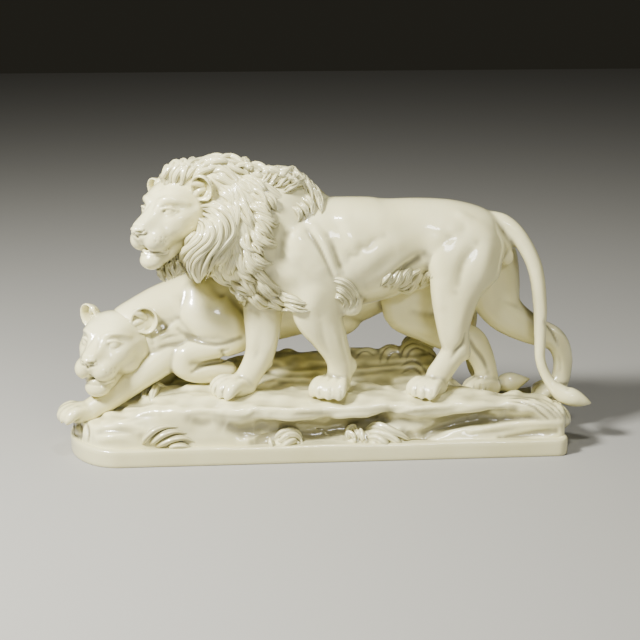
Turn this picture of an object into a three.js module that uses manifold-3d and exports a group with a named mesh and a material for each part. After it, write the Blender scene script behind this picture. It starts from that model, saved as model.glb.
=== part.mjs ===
// Glazed porcelain group of a walking lion with a lioness stalking beside him, on a rocky base with a plinth edge.
// Millimetres, +Z up. The origin is the middle of the plinth's underside, the animals face -X and the front is -Y.
import * as THREE from "three";
import { mergeVertices } from "three/addons/utils/BufferGeometryUtils.js";
import Module from "manifold-3d";

const wasm = await Module();
wasm.setup();

// Driving dimensions of the plinth and the rock on it
const PLINTH_LENGTH = 395;
const PLINTH_DEPTH = 116;
const PLINTH_HEIGHT = 14;
const PLINTH_END_RADIUS = 42; // half-ellipse at the left end
const PLINTH_CORNER_RADIUS = 9; // at the right end
const PLINTH_BEVEL = 2;
const ROCK_TOP = 43; // the ledge that the lion walks on
const ROCK_LOW = 27; // the left tip, under the lioness's leading paw
const ROCK_CREST = 62; // the high ground behind the lion
const ROCK_BACK_LEFT = 44;
const ROCK_BACK_RIGHT = 27; // the low ground behind the lion's hind legs
const ROCK_RIGHT = 33; // the right end
const ROCK_INSET = 8; // how far the rock stands back from the plinth's edge

// Driving dimensions of the animals
const LION_YAW = THREE.MathUtils.degToRad(8); // his body turns this much towards the front
const LION_HEAD = [-104.5, -18, 212.7]; // middle of the line between his ears
const LIONESS_HEAD = [-157.9, 7.5, 104.1];
const EAR_SPREAD = 26; // from the middle of the head to an ear
const NOSE_DROP = -23; // the nose is this much lower than the ears
const LION_FACE = { jawDrop: 8, earTurn: 0.14, earRadius: 9.5 };
const LIONESS_FACE = { jawDrop: 1, earTurn: 0.45, earRadius: 10.5 };
const SINK = 1.5; // how far paws are bedded into the ground

const LATERAL = new THREE.Vector3(Math.sin(LION_YAW), -Math.cos(LION_YAW), 0);
const FRONTWARD = new THREE.Vector3(0, -1, 0);

const smooth = (low, high, x) => THREE.MathUtils.smoothstep(x, low, high);
const mix = THREE.MathUtils.lerp;
const vec = (p) => new THREE.Vector3(p[0], p[1], p[2]);

// A closed geometry as a solid that can be joined
function solid(geometry) {
  const bare = new THREE.BufferGeometry();
  bare.setAttribute("position", geometry.getAttribute("position"));
  if (geometry.index) bare.setIndex(geometry.index);
  const merged = mergeVertices(bare, 1e-4);
  return new wasm.Manifold(
    new wasm.Mesh({
      numProp: 3,
      vertProperties: new Float32Array(merged.attributes.position.array),
      triVerts: new Uint32Array(merged.index.array),
    }),
  );
}

const join = (solids) => solids.reduce((whole, next) => whole.add(next));

// Closed surface through rings of equally many points, with a pole at each end
function skin(rings, firstPole, lastPole) {
  const around = rings[0].length;
  const points = [...rings.flat(), firstPole, lastPole];
  const position = new Float32Array(points.flatMap((p) => [p.x, p.y, p.z]));
  const first = points.length - 2;
  const last = points.length - 1;
  const faces = [];
  rings.forEach((_, i) => {
    for (let j = 0; j < around; j++) {
      const next = (j + 1) % around;
      if (i === 0) faces.push(first, next, j);
      if (i === rings.length - 1) {
        faces.push(last, i * around + j, i * around + next);
        continue;
      }
      const a = i * around + j;
      const b = i * around + next;
      faces.push(a, b, b + around, a, b + around, a + around);
    }
  });
  const geometry = new THREE.BufferGeometry();
  geometry.setAttribute("position", new THREE.BufferAttribute(position, 3));
  geometry.setIndex(faces);
  return geometry;
}

// Limb, trunk or lock: elliptical rings carried along a curve through stations [x, y, z, half-width, half-depth].
// The half-width lies along side, and both ends close with a dome, flat where dome is small.
function limb(stations, { side = LATERAL, sides = 10, dome = 1 } = {}) {
  const line = new THREE.CatmullRomCurve3(stations.map(vec), false, "catmullrom", 0.5);
  const sizes = new THREE.CatmullRomCurve3(
    stations.map((s) => new THREE.Vector3(s[3], s[4], 0)), false, "catmullrom", 0.5,
  );
  const steps = stations.length - 1;
  const ring = (t, along, shrink) => {
    const centre = line.getPoint(t);
    const tangent = line.getTangent(t);
    const size = sizes.getPoint(t).multiplyScalar(shrink);
    const across = side.clone().addScaledVector(tangent, -side.dot(tangent)).normalize();
    const other = tangent.clone().cross(across);
    centre.addScaledVector(tangent, along);
    return Array.from({ length: sides }, (_, j) => {
      const angle = (2 * Math.PI * j) / sides;
      return centre.clone()
        .addScaledVector(across, size.x * Math.cos(angle))
        .addScaledVector(other, size.y * Math.sin(angle));
    });
  };
  const domed = (t, sign) => {
    const size = sizes.getPoint(t);
    const reach = dome * Math.min(size.x, size.y);
    return { ring: ring(t, sign * reach * 0.6, 0.75),
      pole: line.getPoint(t).addScaledVector(line.getTangent(t), sign * reach) };
  };
  const start = domed(0, -1);
  const end = domed(1, 1);
  const middle = Array.from({ length: steps + 1 }, (_, i) => ring(i / steps, 0, 1));
  return solid(skin([start.ring, ...middle, end.ring], start.pole, end.pole));
}

// Ellipsoid at a point, with its own axes turned by a matrix
function blob(centre, radii, turn = new THREE.Matrix4(), across = 8, down = 6) {
  const place = new THREE.Matrix4().makeTranslation(...centre).multiply(turn)
    .multiply(new THREE.Matrix4().makeScale(...radii));
  return solid(new THREE.SphereGeometry(1, across, down).applyMatrix4(place));
}

// Frame whose x axis points forwards, y to the animal's left and z up, turned from -X towards the front by yaw
function heading(yaw, pitch = 0, roll = 0) {
  const turned = new THREE.Matrix4().makeRotationZ(Math.PI + yaw);
  return turned.multiply(new THREE.Matrix4().makeRotationY(-pitch))
    .multiply(new THREE.Matrix4().makeRotationX(roll));
}

const degrees = THREE.MathUtils.degToRad;

// Height of the ground at x, y: a slope up from the left tip, a ledge, a crest behind it and a low right end
function ground(x, y) {
  const ledge = mix(ROCK_LOW, ROCK_TOP, smooth(-198, -118, x));
  const front = mix(ledge, ROCK_RIGHT, smooth(165, 205, x));
  const crest = mix(ROCK_BACK_LEFT, ROCK_CREST, smooth(-110, -40, x));
  const rightward = smooth(96, 132, x);
  const back = mix(mix(ROCK_LOW, crest, smooth(-195, -120, x)), ROCK_BACK_RIGHT, rightward);
  const backward = smooth(mix(-8, -30, rightward), mix(40, 34, rightward), y);
  const strata = 0.8 * Math.sin(x * 0.11 + y * 0.23) + 0.5 * Math.sin(x * 0.31 - y * 0.12);
  return mix(front, back, backward) + strata;
}

// Half the plinth's depth at x: half-ellipse on the left, straight, then a small round corner
function plinthHalfDepth(x) {
  const half = PLINTH_DEPTH / 2;
  const intoEnd = -PLINTH_LENGTH / 2 + PLINTH_END_RADIUS - x;
  if (intoEnd > 0) return half * Math.sqrt(Math.max(0, 1 - (intoEnd / PLINTH_END_RADIUS) ** 2));
  const intoCorner = x - PLINTH_LENGTH / 2 + PLINTH_CORNER_RADIUS;
  if (intoCorner <= 0) return half;
  return half - PLINTH_CORNER_RADIUS + Math.sqrt(Math.max(0, PLINTH_CORNER_RADIUS ** 2 - intoCorner ** 2));
}

function plinth() {
  const half = PLINTH_DEPTH / 2 - PLINTH_BEVEL;
  const right = PLINTH_LENGTH / 2 - PLINTH_BEVEL;
  const corner = PLINTH_CORNER_RADIUS - PLINTH_BEVEL;
  const centre = -PLINTH_LENGTH / 2 + PLINTH_END_RADIUS;
  const outline = new THREE.Shape();
  outline.moveTo(centre, -half);
  outline.lineTo(right - corner, -half);
  outline.quadraticCurveTo(right, -half, right, -half + corner);
  outline.lineTo(right, half - corner);
  outline.quadraticCurveTo(right, half, right - corner, half);
  outline.lineTo(centre, half);
  outline.absellipse(centre, 0, PLINTH_END_RADIUS - PLINTH_BEVEL, half, Math.PI / 2, 1.5 * Math.PI, false, 0);
  const geometry = new THREE.ExtrudeGeometry(outline, {
    depth: PLINTH_HEIGHT - 2 * PLINTH_BEVEL, curveSegments: 6,
    bevelThickness: PLINTH_BEVEL, bevelSize: PLINTH_BEVEL, bevelSegments: 1,
  });
  return solid(geometry.translate(0, 0, PLINTH_BEVEL));
}

// The rock is a row of upright sections along X: a wall with an undercut slab in front, the ground, a plain wall behind
function rock() {
  const left = -PLINTH_LENGTH / 2 + 3;
  const right = PLINTH_LENGTH / 2 - 7;
  const slices = 27;
  const acrossTop = 5;
  const underside = PLINTH_HEIGHT - 3;
  const rings = Array.from({ length: slices + 1 }, (_, i) => {
    const x = left + (right - left) * (i / slices) ** 1.12;
    const half = Math.max(4, plinthHalfDepth(x) - ROCK_INSET);
    const undercut = 9 * smooth(-75, -35, x) * (1 - smooth(150, 190, x)) * (1 + 0.4 * Math.sin(x * 0.09));
    const wander = 2.2 * Math.sin(x * 0.13) + 1.4 * Math.sin(x * 0.37 + 1);
    const slope = 10 * (1 - smooth(-135, -105, x));
    const frontTop = ground(x, -half);
    const backTop = ground(x, half);
    const wall = (share) => mix(underside, frontTop, share);
    const points = [
      [-half * 0.98 - 2, underside],
      [-half + undercut * 0.5, wall(0.3)],
      [-half + undercut + wander * 0.5, wall(0.55)],
      [-half + wander * 0.6 + slope * 0.4, wall(0.8)],
    ];
    const inner = half - 4;
    for (let k = 0; k <= acrossTop; k++) {
      const y = mix(-inner + slope + wander, inner, k / acrossTop);
      points.push([y, ground(x, y)]);
    }
    points.push([half, mix(underside, backTop, 0.6)], [half, underside]);
    return points.reverse().map(([y, z]) => new THREE.Vector3(x, y, z));
  });
  const middle = (ring) => ring.reduce((sum, p) => sum.add(p), new THREE.Vector3()).divideScalar(ring.length);
  return solid(skin(rings, middle(rings[0]), middle(rings.at(-1))));
}

// Pointed leaf or lock of hair through points [x, y, z, half-width], flattened against the surface that it lies on
function lock(stations, outward, sides = 4, flatness = 0.5) {
  const rings = stations.slice(1, -1).map((s, i) => {
    const along = vec(stations[i + 2]).sub(vec(stations[i])).normalize();
    const across = along.clone().cross(outward).normalize();
    const out = across.clone().cross(along);
    return Array.from({ length: sides }, (_, j) => {
      const angle = (2 * Math.PI * (j + 0.25)) / sides;
      return vec(s).addScaledVector(across, s[3] * Math.cos(angle))
        .addScaledVector(out, s[3] * flatness * Math.sin(angle));
    });
  });
  const whole = solid(skin(rings, vec(stations[0]), vec(stations.at(-1))));
  return whole.volume() > 0 ? whole : solid(skin(rings.map((r) => r.reverse()), vec(stations[0]), vec(stations.at(-1))));
}

// Fan of drooping leaves from one root on the front wall, leaning from -spread/2 to +spread/2 about the yaw
function tuft(root, yaw, { leaves = 5, spread = 1.2, reach = 30, width = 4 }) {
  return join(Array.from({ length: leaves }, (_, i) => {
    const lean = yaw + (i / (leaves - 1) - 0.5) * spread;
    const at = (share, lift, size) => [
      root[0] + reach * share * Math.cos(lean), root[1] - lift, root[2] + reach * share * Math.sin(lean), width * size,
    ];
    return lock([at(-0.1, -3, 0), at(0.3, 3, 1), at(0.7, 4.5, 0.8), at(1, 1, 0)], FRONTWARD);
  }));
}

function groundAndPlants() {
  const lumps = [
    blob([-130, 30, 46], [20, 15, 20], heading(0.3), 7, 5),
    blob([54, 44, 50], [17, 10, 14], heading(0), 7, 5),
    blob([84, 42, 49], [15, 11, 18], heading(0.5)),
    blob([105, 38, 42], [15, 12, 15], heading(-0.6), 7, 5),
    blob([186, -30, 28], [22, 18, 13], heading(0.2, 0.3)),
  ];
  const tufts = [
    tuft([-158, -43, 18], 0.5, { leaves: 4, reach: 30, width: 5 }),
    tuft([-46, -46, 20], 0.1, { leaves: 4, reach: 26, spread: 0.9 }),
    tuft([22, -48, 29], -0.1, { leaves: 5, reach: 44, width: 5, spread: 0.5 }),
    tuft([162, -40, 34], -0.25, { leaves: 5, reach: 40, width: 5, spread: 0.6 }),
  ];
  return join([plinth(), rock(), ...lumps, ...tufts]);
}

// Paw as one surface: a low dome whose front edge swells into four toes, heading along yaw on the ground
function paw(x, y, yaw, size = 1) {
  const turn = heading(yaw);
  const inFront = 9;
  const behind = 3;
  const angles = [
    ...Array.from({ length: inFront }, (_, j) => degrees(mix(-72, 72, j / (inFront - 1)))),
    ...Array.from({ length: behind }, (_, j) => degrees(mix(115, 245, j / (behind - 1)))),
  ];
  const point = (forward, sideways, height) => vec([forward, sideways, height]).multiplyScalar(size)
    .applyMatrix4(turn).add(vec([x, y, ground(x, y) - SINK]));
  const rows = [[0.98, -2], [1.04, 4.5], [0.8, 11.5]];
  const rings = rows.map(([reach, height]) => angles.map((angle, j) => {
    const toe = j < inFront && j % 2 ? 1.08 : 0.97;
    const forward = 5 + 16 * Math.cos(angle) * reach * toe;
    const sideways = 12.5 * Math.sin(angle) * reach * toe;
    return point(forward, sideways, height - 0.012 * Math.max(0, forward - 6) * height);
  }));
  return solid(skin(rings, point(4, 0, -2), point(3, 0, 16)));
}

// Head in its own frame: forwards, left, up from the middle of the line between the ears
function head(centre, turn, { jawDrop, earTurn, earRadius }) {
  const place = new THREE.Matrix4().makeTranslation(...centre).multiply(turn);
  const at = (p) => vec(p).applyMatrix4(place).toArray();
  const ball = (p, r, across = 8, down = 6) => blob(at(p), r, turn, across, down);
  const side = vec([0, 1, 0]).transformDirection(place);
  const bar = (stations, sides) => limb(stations.map((s) => [...at(s), s[3], s[4]]), { side, sides });
  const pairs = [-1, 1].flatMap((s) => [
    ball([40, s * 6, -30.5], [12, 8, 9.5], 6, 5), // whisker pad
    ball([17, s * 14, -26], [22, 11, 17], 7, 5), // cheek
    ball([24, s * 10.5, -6.5], [7, 6.5, 5], 5, 4), // brow
    ball([26, s * 11, -13.5], [5, 4.5, 3.4], 5, 4), // eye
    ear(at([0, s * EAR_SPREAD, 0]), turn, s * earTurn, earRadius),
  ]);
  return join([
    bar([[-18, 0, -12, 18, 18], [-2, 0, -11, 25, 23], [12, 0, -13, 24, 22], [24, 0, -17, 16.5, 17],
      [35, 0, -22, 10.5, 13], [45, 0, -26, 7, 9]], 8),
    ball([48.5, 0, NOSE_DROP], [5, 6, 4], 5, 4), // nose
    bar([[4, 0, -34, 18, 13], [20, 0, -38 - 0.6 * jawDrop, 13, 10], [35, 0, -42 - jawDrop, 9, 8]], 6),
    ...pairs,
  ]);
}

// Cupped round ear, open towards its own turn from the face: back, rim and hollow as one surface
function ear(centre, turn, earTurn, radius) {
  const own = new THREE.Matrix4().makeTranslation(...centre).multiply(turn)
    .multiply(new THREE.Matrix4().makeRotationZ(earTurn))
    .multiply(new THREE.Matrix4().makeRotationX(-0.5 * Math.sign(earTurn)));
  const around = 8;
  const ring = (forward, size) => Array.from({ length: around }, (_, j) => {
    const angle = (2 * Math.PI * j) / around;
    return vec([forward, 0.92 * size * Math.cos(angle), size * Math.sin(angle)]).multiplyScalar(radius)
      .applyMatrix4(own);
  });
  const rings = [ring(-0.3, 0.85), ring(0.25, 1), ring(-0.05, 0.62)];
  const middle = (forward) => vec([forward * radius, 0, 0]).applyMatrix4(own);
  return solid(skin(rings, middle(-0.75), middle(-0.25)));
}

const LION_TURN = heading(degrees(48.5), 0, degrees(3.6));
const LIONESS_TURN = heading(degrees(63));

// Middle line of the mane from the face back to the withers, with its half-width, half-height and turn
const MANE = [
  { at: [-99, -20, 190], wide: 29, high: 40, turn: degrees(40) },
  { at: [-80, -18, 186], wide: 36, high: 45, turn: degrees(28) },
  { at: [-54, -17, 175], wide: 37, high: 54, turn: degrees(14) },
  { at: [-24, -15, 170], wide: 31, high: 54, turn: LION_YAW },
  { at: [8, -13, 160], wide: 20, high: 40, turn: LION_YAW },
];
const manePath = new THREE.CatmullRomCurve3(MANE.map((s) => vec(s.at)));
const maneSize = new THREE.CatmullRomCurve3(MANE.map((s) => new THREE.Vector3(s.wide, s.high, s.turn)));

// Point on the mane: angle 0 is the top and a quarter turn the near side, share runs from the face to the withers
function manePoint(angle, share, lift = 0) {
  const size = maneSize.getPoint(share);
  const across = (size.x + lift) * Math.sin(angle);
  const up = (size.y + lift) * Math.cos(angle);
  return manePath.getPoint(share).add(new THREE.Vector3(across * Math.sin(size.z), -across * Math.cos(size.z), up));
}

// Lock that starts on the mane and runs with the fall of the hair, back at the crown and down over the cheek
function maneLock(angle, share, length, width, sway) {
  const steps = 4;
  const rise = [-2, 3, 4, 3, 0];
  const swell = [0, 0.85, 1, 0.7, 0];
  const stations = [];
  const outward = manePoint(angle, share, 10).sub(manePoint(angle, share));
  for (let i = 0; i <= steps; i++) {
    stations.push([...manePoint(angle, share, rise[i]).toArray(), width * swell[i]]);
    const fall = Math.abs(Math.sin(angle)) * mix(1.1, 0.75, share);
    const turning = sway * Math.sin((i / steps) * 2 * Math.PI);
    const size = maneSize.getPoint(Math.min(1, share));
    const radius = Math.hypot(size.x * Math.cos(angle), size.y * Math.sin(angle));
    const down = Math.sign(Math.sin(angle)) * Math.sin(fall + turning);
    angle += ((length / steps) * down) / radius;
    share = Math.min(1.05, share + ((length / steps) * Math.cos(fall + turning)) / MANE_LENGTH);
  }
  return lock(stations, outward, 4, 0.6);
}

const MANE_LENGTH = manePath.getLength();

// The mass under the locks, as flat-ended rings along the mane's line
function maneMass() {
  const around = 12;
  const along = 5;
  const rings = Array.from({ length: along + 1 }, (_, i) => Array.from({ length: around }, (_, j) =>
    manePoint((2 * Math.PI * j) / around, i / along)));
  const end = (share, out) => manePath.getPoint(share).addScaledVector(manePath.getTangent(share), out);
  return solid(skin(rings, end(0, -6), end(1, 6)));
}

// Rows of overlapping locks round the face, the neck and the shoulders, closer on the near side than on the far one
function maneLocks() {
  const rows = [
    { share: 0, length: 50, width: 9 },
    { share: 0.2, length: 48, width: 9.5 },
    { share: 0.42, length: 44, width: 9.5 },
  ];
  const farAngles = [-164, -120, -76, -34];
  const nearAngles = [0, 32, 62, 92, 122, 152];
  return rows.flatMap(({ share, length, width }, row) => [...farAngles, ...nearAngles].map((base, i) => {
    const angle = degrees(base + 14 * (row % 2));
    const crown = 1 - 0.35 * Math.max(0, Math.cos(angle));
    return maneLock(angle, share, length * crown, width, 0.35 * Math.sin(2.4 * i + row));
  }));
}

function lion() {
  const trunk = limb([
    [-45, -20, 152, 26, 34], [-15, -17, 157, 34, 45], [15, -13.5, 157, 36, 43], [50, -9, 159.5, 33, 40.5],
    [80, -5, 166, 28, 33], [110, -1, 165, 29, 30.5], [135, 2, 162, 24, 25], [146, 3, 161, 14, 15],
  ], { sides: 12 });
  const mane = maneMass();
  const leg = { sides: 7 };
  const nearFore = limb([
    [-10, -25, 172, 13, 28], [-2, -33, 148, 15, 25], [5, -36, 128, 13.5, 18.5], [8, -35, 111, 12.5, 15],
    [12, -33, 92, 11.5, 13], [17, -31, 75, 9.5, 11], [18, -31, 62, 9.5, 11], [17, -32, 52, 9, 10],
  ], leg);
  const elbow = blob([25, -34, 122], [8.5, 7, 8], heading(0), 6, 5);
  const farFore = limb([
    [-38, -6, 150, 15, 24], [-40, -12, 128, 14, 19], [-42, -15, 111, 13, 16], [-43, -18, 92, 11.5, 13.5],
    [-47, -20, 77, 10, 12], [-54, -23, 64, 9.5, 10.5], [-60, -25, 54, 9, 10],
  ], leg);
  const nearHind = limb([
    [126, -12, 168, 16, 28], [116, -22, 150, 15, 31], [109, -27, 130, 13.5, 22], [107, -29, 112, 12, 16.5],
    [107, -30, 95, 10, 12.5], [109, -30, 81, 8.5, 11], [103, -31, 68, 8.5, 10], [96, -32, 56, 8.5, 10],
  ], leg);
  const farHind = limb([
    [128, 14, 165, 15, 26], [140, 16, 145, 14, 26], [146, 16, 122, 13, 24], [156, 15, 100, 11.5, 17],
    [178, 14, 85, 9.5, 12.5], [198, 15, 76, 8.5, 10], [206, 15, 62, 7.5, 8.5], [206, 15, 46, 7.5, 8],
    [203, 13, 38, 7.5, 8],
  ], leg);
  const tail = limb([
    [136, 2, 178, 9, 9], [150, -1, 176, 8, 8], [163, -5, 165, 7, 6.8], [175, -8, 142, 6.3, 6.3],
    [180, -9, 113, 5.8, 5.8], [180.5, -12, 86, 5, 5], [181, -15, 66, 4.4, 4.4], [188, -18, 50, 4.6, 4.6],
    [198, -22, 40, 6.5, 6], [208, -25, 36.5, 7.2, 5.5], [221, -28, 33, 1.2, 1.2],
  ], { side: FRONTWARD, sides: 6 });
  const paws = [
    paw(14, -33, degrees(62), 1.1), paw(-66, -27, degrees(30), 1.1),
    paw(92, -35, degrees(45), 1.03), paw(201, 12, degrees(8), 0.95),
  ];
  const belly = blob([84, -5, 136], [14, 8, 11], heading(0), 6, 5);
  return join([trunk, mane, elbow, belly, nearFore, farFore, nearHind, farHind, tail, ...paws,
    head(LION_HEAD, LION_TURN, LION_FACE), ...maneLocks()]);
}

function lioness() {
  const trunk = limb([
    [-108, 24, 107, 22, 26], [-80, 26, 108, 25, 29], [-45, 28, 104, 24, 29], [-5, 30, 110, 24, 28],
    [30, 31, 117, 24, 29], [62, 31, 128, 22, 26], [95, 31, 132, 23, 25], [122, 30, 128, 17, 18],
  ], { sides: 10 });
  const leg = { sides: 7 };
  const neck = limb([[-90, 26, 108, 22, 27], [-118, 21, 106, 20, 23], [-146, 11, 96, 20, 19]],
    { sides: 10 });
  const chest = limb([[-88, 20, 92, 20, 24], [-130, 7, 86, 15, 16]], leg);
  const belly = blob([16, 30, 98], [27, 20, 21], heading(0), 8, 5);
  const nearShoulder = limb([
    [-92, 14, 120, 12, 16], [-86, 6, 106, 13, 22], [-70, 4, 94, 12, 18], [-58, 5, 86, 10, 10],
  ], leg);
  const nearForearm = limb([
    [-54, 5, 86, 10, 10], [-70, 1, 82, 10, 10.5], [-90, -2, 78, 9.5, 9.5], [-104, -3, 74, 9, 10],
    [-106, -3, 66, 9.5, 10], [-95, -1, 60, 9.5, 10], [-80, 3, 59, 10, 10.5], [-70, 5, 58, 9, 8],
  ], { side: FRONTWARD, sides: 7 });
  const farFore = limb([
    [-90, 30, 100, 14, 20], [-102, 14, 86, 14, 17], [-120, 2, 71, 12, 13], [-141, -7, 58, 10.5, 11],
    [-163, -13, 44, 9.5, 10], [-178, -17, 36, 9.5, 9],
  ], leg);
  const nearHind = limb([
    [104, 14, 138, 12, 22], [86, 10, 120, 14, 26], [74, 9, 106, 13, 20], [92, 9, 92, 11, 15],
    [112, 10, 81, 9, 12], [128, 11, 76, 7.5, 10], [140, 12, 66, 7, 8], [146, 12, 50, 6.5, 7], [145, 11, 40, 6.5, 7],
  ], leg);
  const farHind = limb([
    [100, 44, 130, 12, 22], [84, 46, 112, 13, 22], [76, 47, 96, 11, 17], [88, 47, 84, 9, 12],
    [98, 47, 74, 7.5, 9], [96, 46, 62, 7, 8],
  ], { sides: 6 });
  const tail = limb([
    [122, 30, 134, 6, 6], [132, 32, 120, 4.6, 4.6], [134, 34, 90, 4, 4], [131, 34, 62, 3.6, 3.6],
    [136, 30, 42, 3.4, 3.4], [150, 22, 35, 3.8, 3.8], [160, 19, 37, 7, 6], [168, 18, 38.5, 8, 6.5],
    [180, 18, 41, 1.2, 1.2],
  ], { side: FRONTWARD, sides: 5 });
  const paws = [paw(-184, -18, degrees(20), 1), paw(144, 9, degrees(20), 0.92), paw(94, 44, degrees(5), 0.85)];
  return join([trunk, neck, chest, belly, nearShoulder, nearForearm, farFore, nearHind, farHind, tail, ...paws,
    head(LIONESS_HEAD, LIONESS_TURN, LIONESS_FACE)]);
}

const porcelain = new THREE.MeshStandardMaterial({ color: 0xe6e2cf, roughness: 0.18, metalness: 0 });
const whole = join([groundAndPlants(), lion(), lioness()]);
const outside = whole.decompose().reduce((best, next) => (next.volume() > best.volume() ? next : best));
const mesh = outside.getMesh();
const geometry = new THREE.BufferGeometry();
const corners = new Float32Array(mesh.numVert * 3);
for (let i = 0; i < mesh.numVert; i++) {
  corners.set(mesh.vertProperties.subarray(i * mesh.numProp, i * mesh.numProp + 3), i * 3);
}
geometry.setAttribute("position", new THREE.BufferAttribute(corners, 3));
geometry.setIndex(new THREE.BufferAttribute(mesh.triVerts, 1));

const group = new THREE.Group();
const figurine = new THREE.Mesh(geometry, porcelain);
figurine.name = "lion_group";
group.add(figurine);

export default group;
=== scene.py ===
"""Glazed porcelain group of a walking lion and a stalking lioness, on a rocky base with a plinth edge.

Lengths are in millimetres and become metres when a mesh is made. X runs along the base, -Y is the front
and Z is up. Most forms are a profile carried along a curve. The forms of one animal are fused into one
skin, softened as glaze softens clay, and then carved with strokes. The hair and the leaves are locks laid
on those skins.
"""
import math

import bpy
import numpy as np
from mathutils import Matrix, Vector
from mathutils.bvhtree import BVHTree


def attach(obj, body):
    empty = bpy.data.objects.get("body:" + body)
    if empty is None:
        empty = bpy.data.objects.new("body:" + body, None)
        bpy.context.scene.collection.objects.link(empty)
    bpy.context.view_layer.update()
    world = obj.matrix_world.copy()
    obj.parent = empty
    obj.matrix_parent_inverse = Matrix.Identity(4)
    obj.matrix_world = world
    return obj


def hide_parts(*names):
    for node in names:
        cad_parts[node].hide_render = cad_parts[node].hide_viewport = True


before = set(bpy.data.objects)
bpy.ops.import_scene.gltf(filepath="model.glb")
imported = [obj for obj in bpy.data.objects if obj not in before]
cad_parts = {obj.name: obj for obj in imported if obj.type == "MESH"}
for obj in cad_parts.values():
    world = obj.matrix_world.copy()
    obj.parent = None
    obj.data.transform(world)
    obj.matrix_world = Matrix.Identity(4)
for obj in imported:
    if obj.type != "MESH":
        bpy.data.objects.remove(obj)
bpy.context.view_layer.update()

rng = np.random.default_rng(12)  # the small differences from lock to lock
METRES, MILLIMETRES = 0.001, 1000.0  # metres in a millimetre, and millimetres in a metre

# The stand from which the group is looked at, and from which strokes are drawn on it
VIEW_AZIMUTH = math.radians(-4.5)
VIEW_ELEVATION = math.radians(15)
VIEW_TARGET = np.array([4.0, 0.0, 100.0])
VIEW_DISTANCE = 1209.0
LENS = 85.0
SENSOR = 36.0
SHEET = 640.0  # the drawing sheet's width and height, in squares

BACK = np.array([
    math.sin(VIEW_AZIMUTH) * math.cos(VIEW_ELEVATION),
    -math.cos(VIEW_AZIMUTH) * math.cos(VIEW_ELEVATION),
    math.sin(VIEW_ELEVATION),
])
EYE = VIEW_TARGET + BACK * VIEW_DISTANCE
RIGHT = np.cross(-BACK, [0.0, 0.0, 1.0])
RIGHT /= np.linalg.norm(RIGHT)
UP = np.cross(RIGHT, -BACK)

LION_YAW = math.radians(8)
LATERAL = np.array([math.sin(LION_YAW), -math.cos(LION_YAW), 0.0])
FRONTWARD = np.array([0.0, -1.0, 0.0])


# Arrays of points

def unit(vectors):
    """Vectors divided by their lengths."""
    return vectors / np.maximum(np.linalg.norm(vectors, axis=-1, keepdims=True), 1e-9)


def ease(low, high, x):
    """0 below low, 1 above high and 3t² - 2t³ between them."""
    t = np.clip((np.asarray(x, float) - low) / (high - low), 0, 1)
    return t * t * (3 - 2 * t)


def mix(a, b, share):
    """a where share is 0 and b where it is 1, on a straight line between."""
    return a + (b - a) * share


def curve(stations, count):
    """Smooth curve through the stations, at count even steps.

    Each span is the cubic whose slope at a station is half the chord between that station's neighbours.
    """
    s = np.asarray(stations, float)
    padded = np.vstack([2 * s[0] - s[1], s, 2 * s[-1] - s[-2]])
    t = np.linspace(0, len(s) - 1, count)
    i = np.minimum(t.astype(int), len(s) - 2)
    f = (t - i)[:, None]
    a, b, c, d = padded[i], padded[i + 1], padded[i + 2], padded[i + 3]
    return 0.5 * (2 * b + (c - a) * f + (2 * a - 5 * b + 4 * c - d) * f**2 + (3 * b - a - 3 * c + d) * f**3)


def drawn_line(points):
    """Smooth line through a stroke's points, or a dot where it has only one."""
    return curve(points, 6 * len(points)) if len(points) > 1 else np.array([points[0], points[0]])


def turn_z(angle):
    """Turn about Z."""
    c, s = math.cos(angle), math.sin(angle)
    return np.array([[c, -s, 0], [s, c, 0], [0, 0, 1.0]])


def turn_y(angle):
    """Turn about Y."""
    c, s = math.cos(angle), math.sin(angle)
    return np.array([[c, 0, s], [0, 1.0, 0], [-s, 0, c]])


def turn_x(angle):
    """Turn about X."""
    c, s = math.cos(angle), math.sin(angle)
    return np.array([[1.0, 0, 0], [0, c, -s], [0, s, c]])


def heading(yaw, pitch=0.0, roll=0.0):
    """Axes of something that faces -X, turned towards the front by yaw: forwards, to its left and up."""
    return turn_z(math.pi + yaw) @ turn_y(-pitch) @ turn_x(roll)


# Shells: points, four-sided faces and three-sided faces

def shell(rings, first, last):
    """Closed shell through an array of rings, with a point at each end.

    Its faces are turned over where the volume inside them, the sum of a·(b × c), comes out negative.
    """
    rows, around = rings.shape[:2]
    points = np.vstack([rings.reshape(-1, 3), first, last])
    j = np.arange(around)
    nxt = (j + 1) % around
    base = (np.arange(rows - 1) * around)[:, None]
    quads = np.stack([base + j, base + nxt, base + nxt + around, base + j + around], -1).reshape(-1, 4)
    low, high = rows * around, rows * around + 1
    top = (rows - 1) * around
    tris = np.vstack([
        np.stack([np.full(around, low), nxt, j], -1),
        np.stack([np.full(around, high), top + j, top + nxt], -1),
    ])
    a, b, c = points[tris[:, 0]], points[tris[:, 1]], points[tris[:, 2]]
    volume = np.einsum("ij,ij->i", a, np.cross(b, c)).sum()
    for k in (1, 2):
        p, q, r = points[quads[:, 0]], points[quads[:, k]], points[quads[:, k + 1]]
        volume += np.einsum("ij,ij->i", p, np.cross(q, r)).sum()
    if volume < 0:
        quads, tris = quads[:, ::-1], tris[:, ::-1]
    return points, quads, tris


CAP_ANGLES = np.radians([20, 42, 64, 80])  # how far round the dome each ring of a limb's end lies


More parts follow.
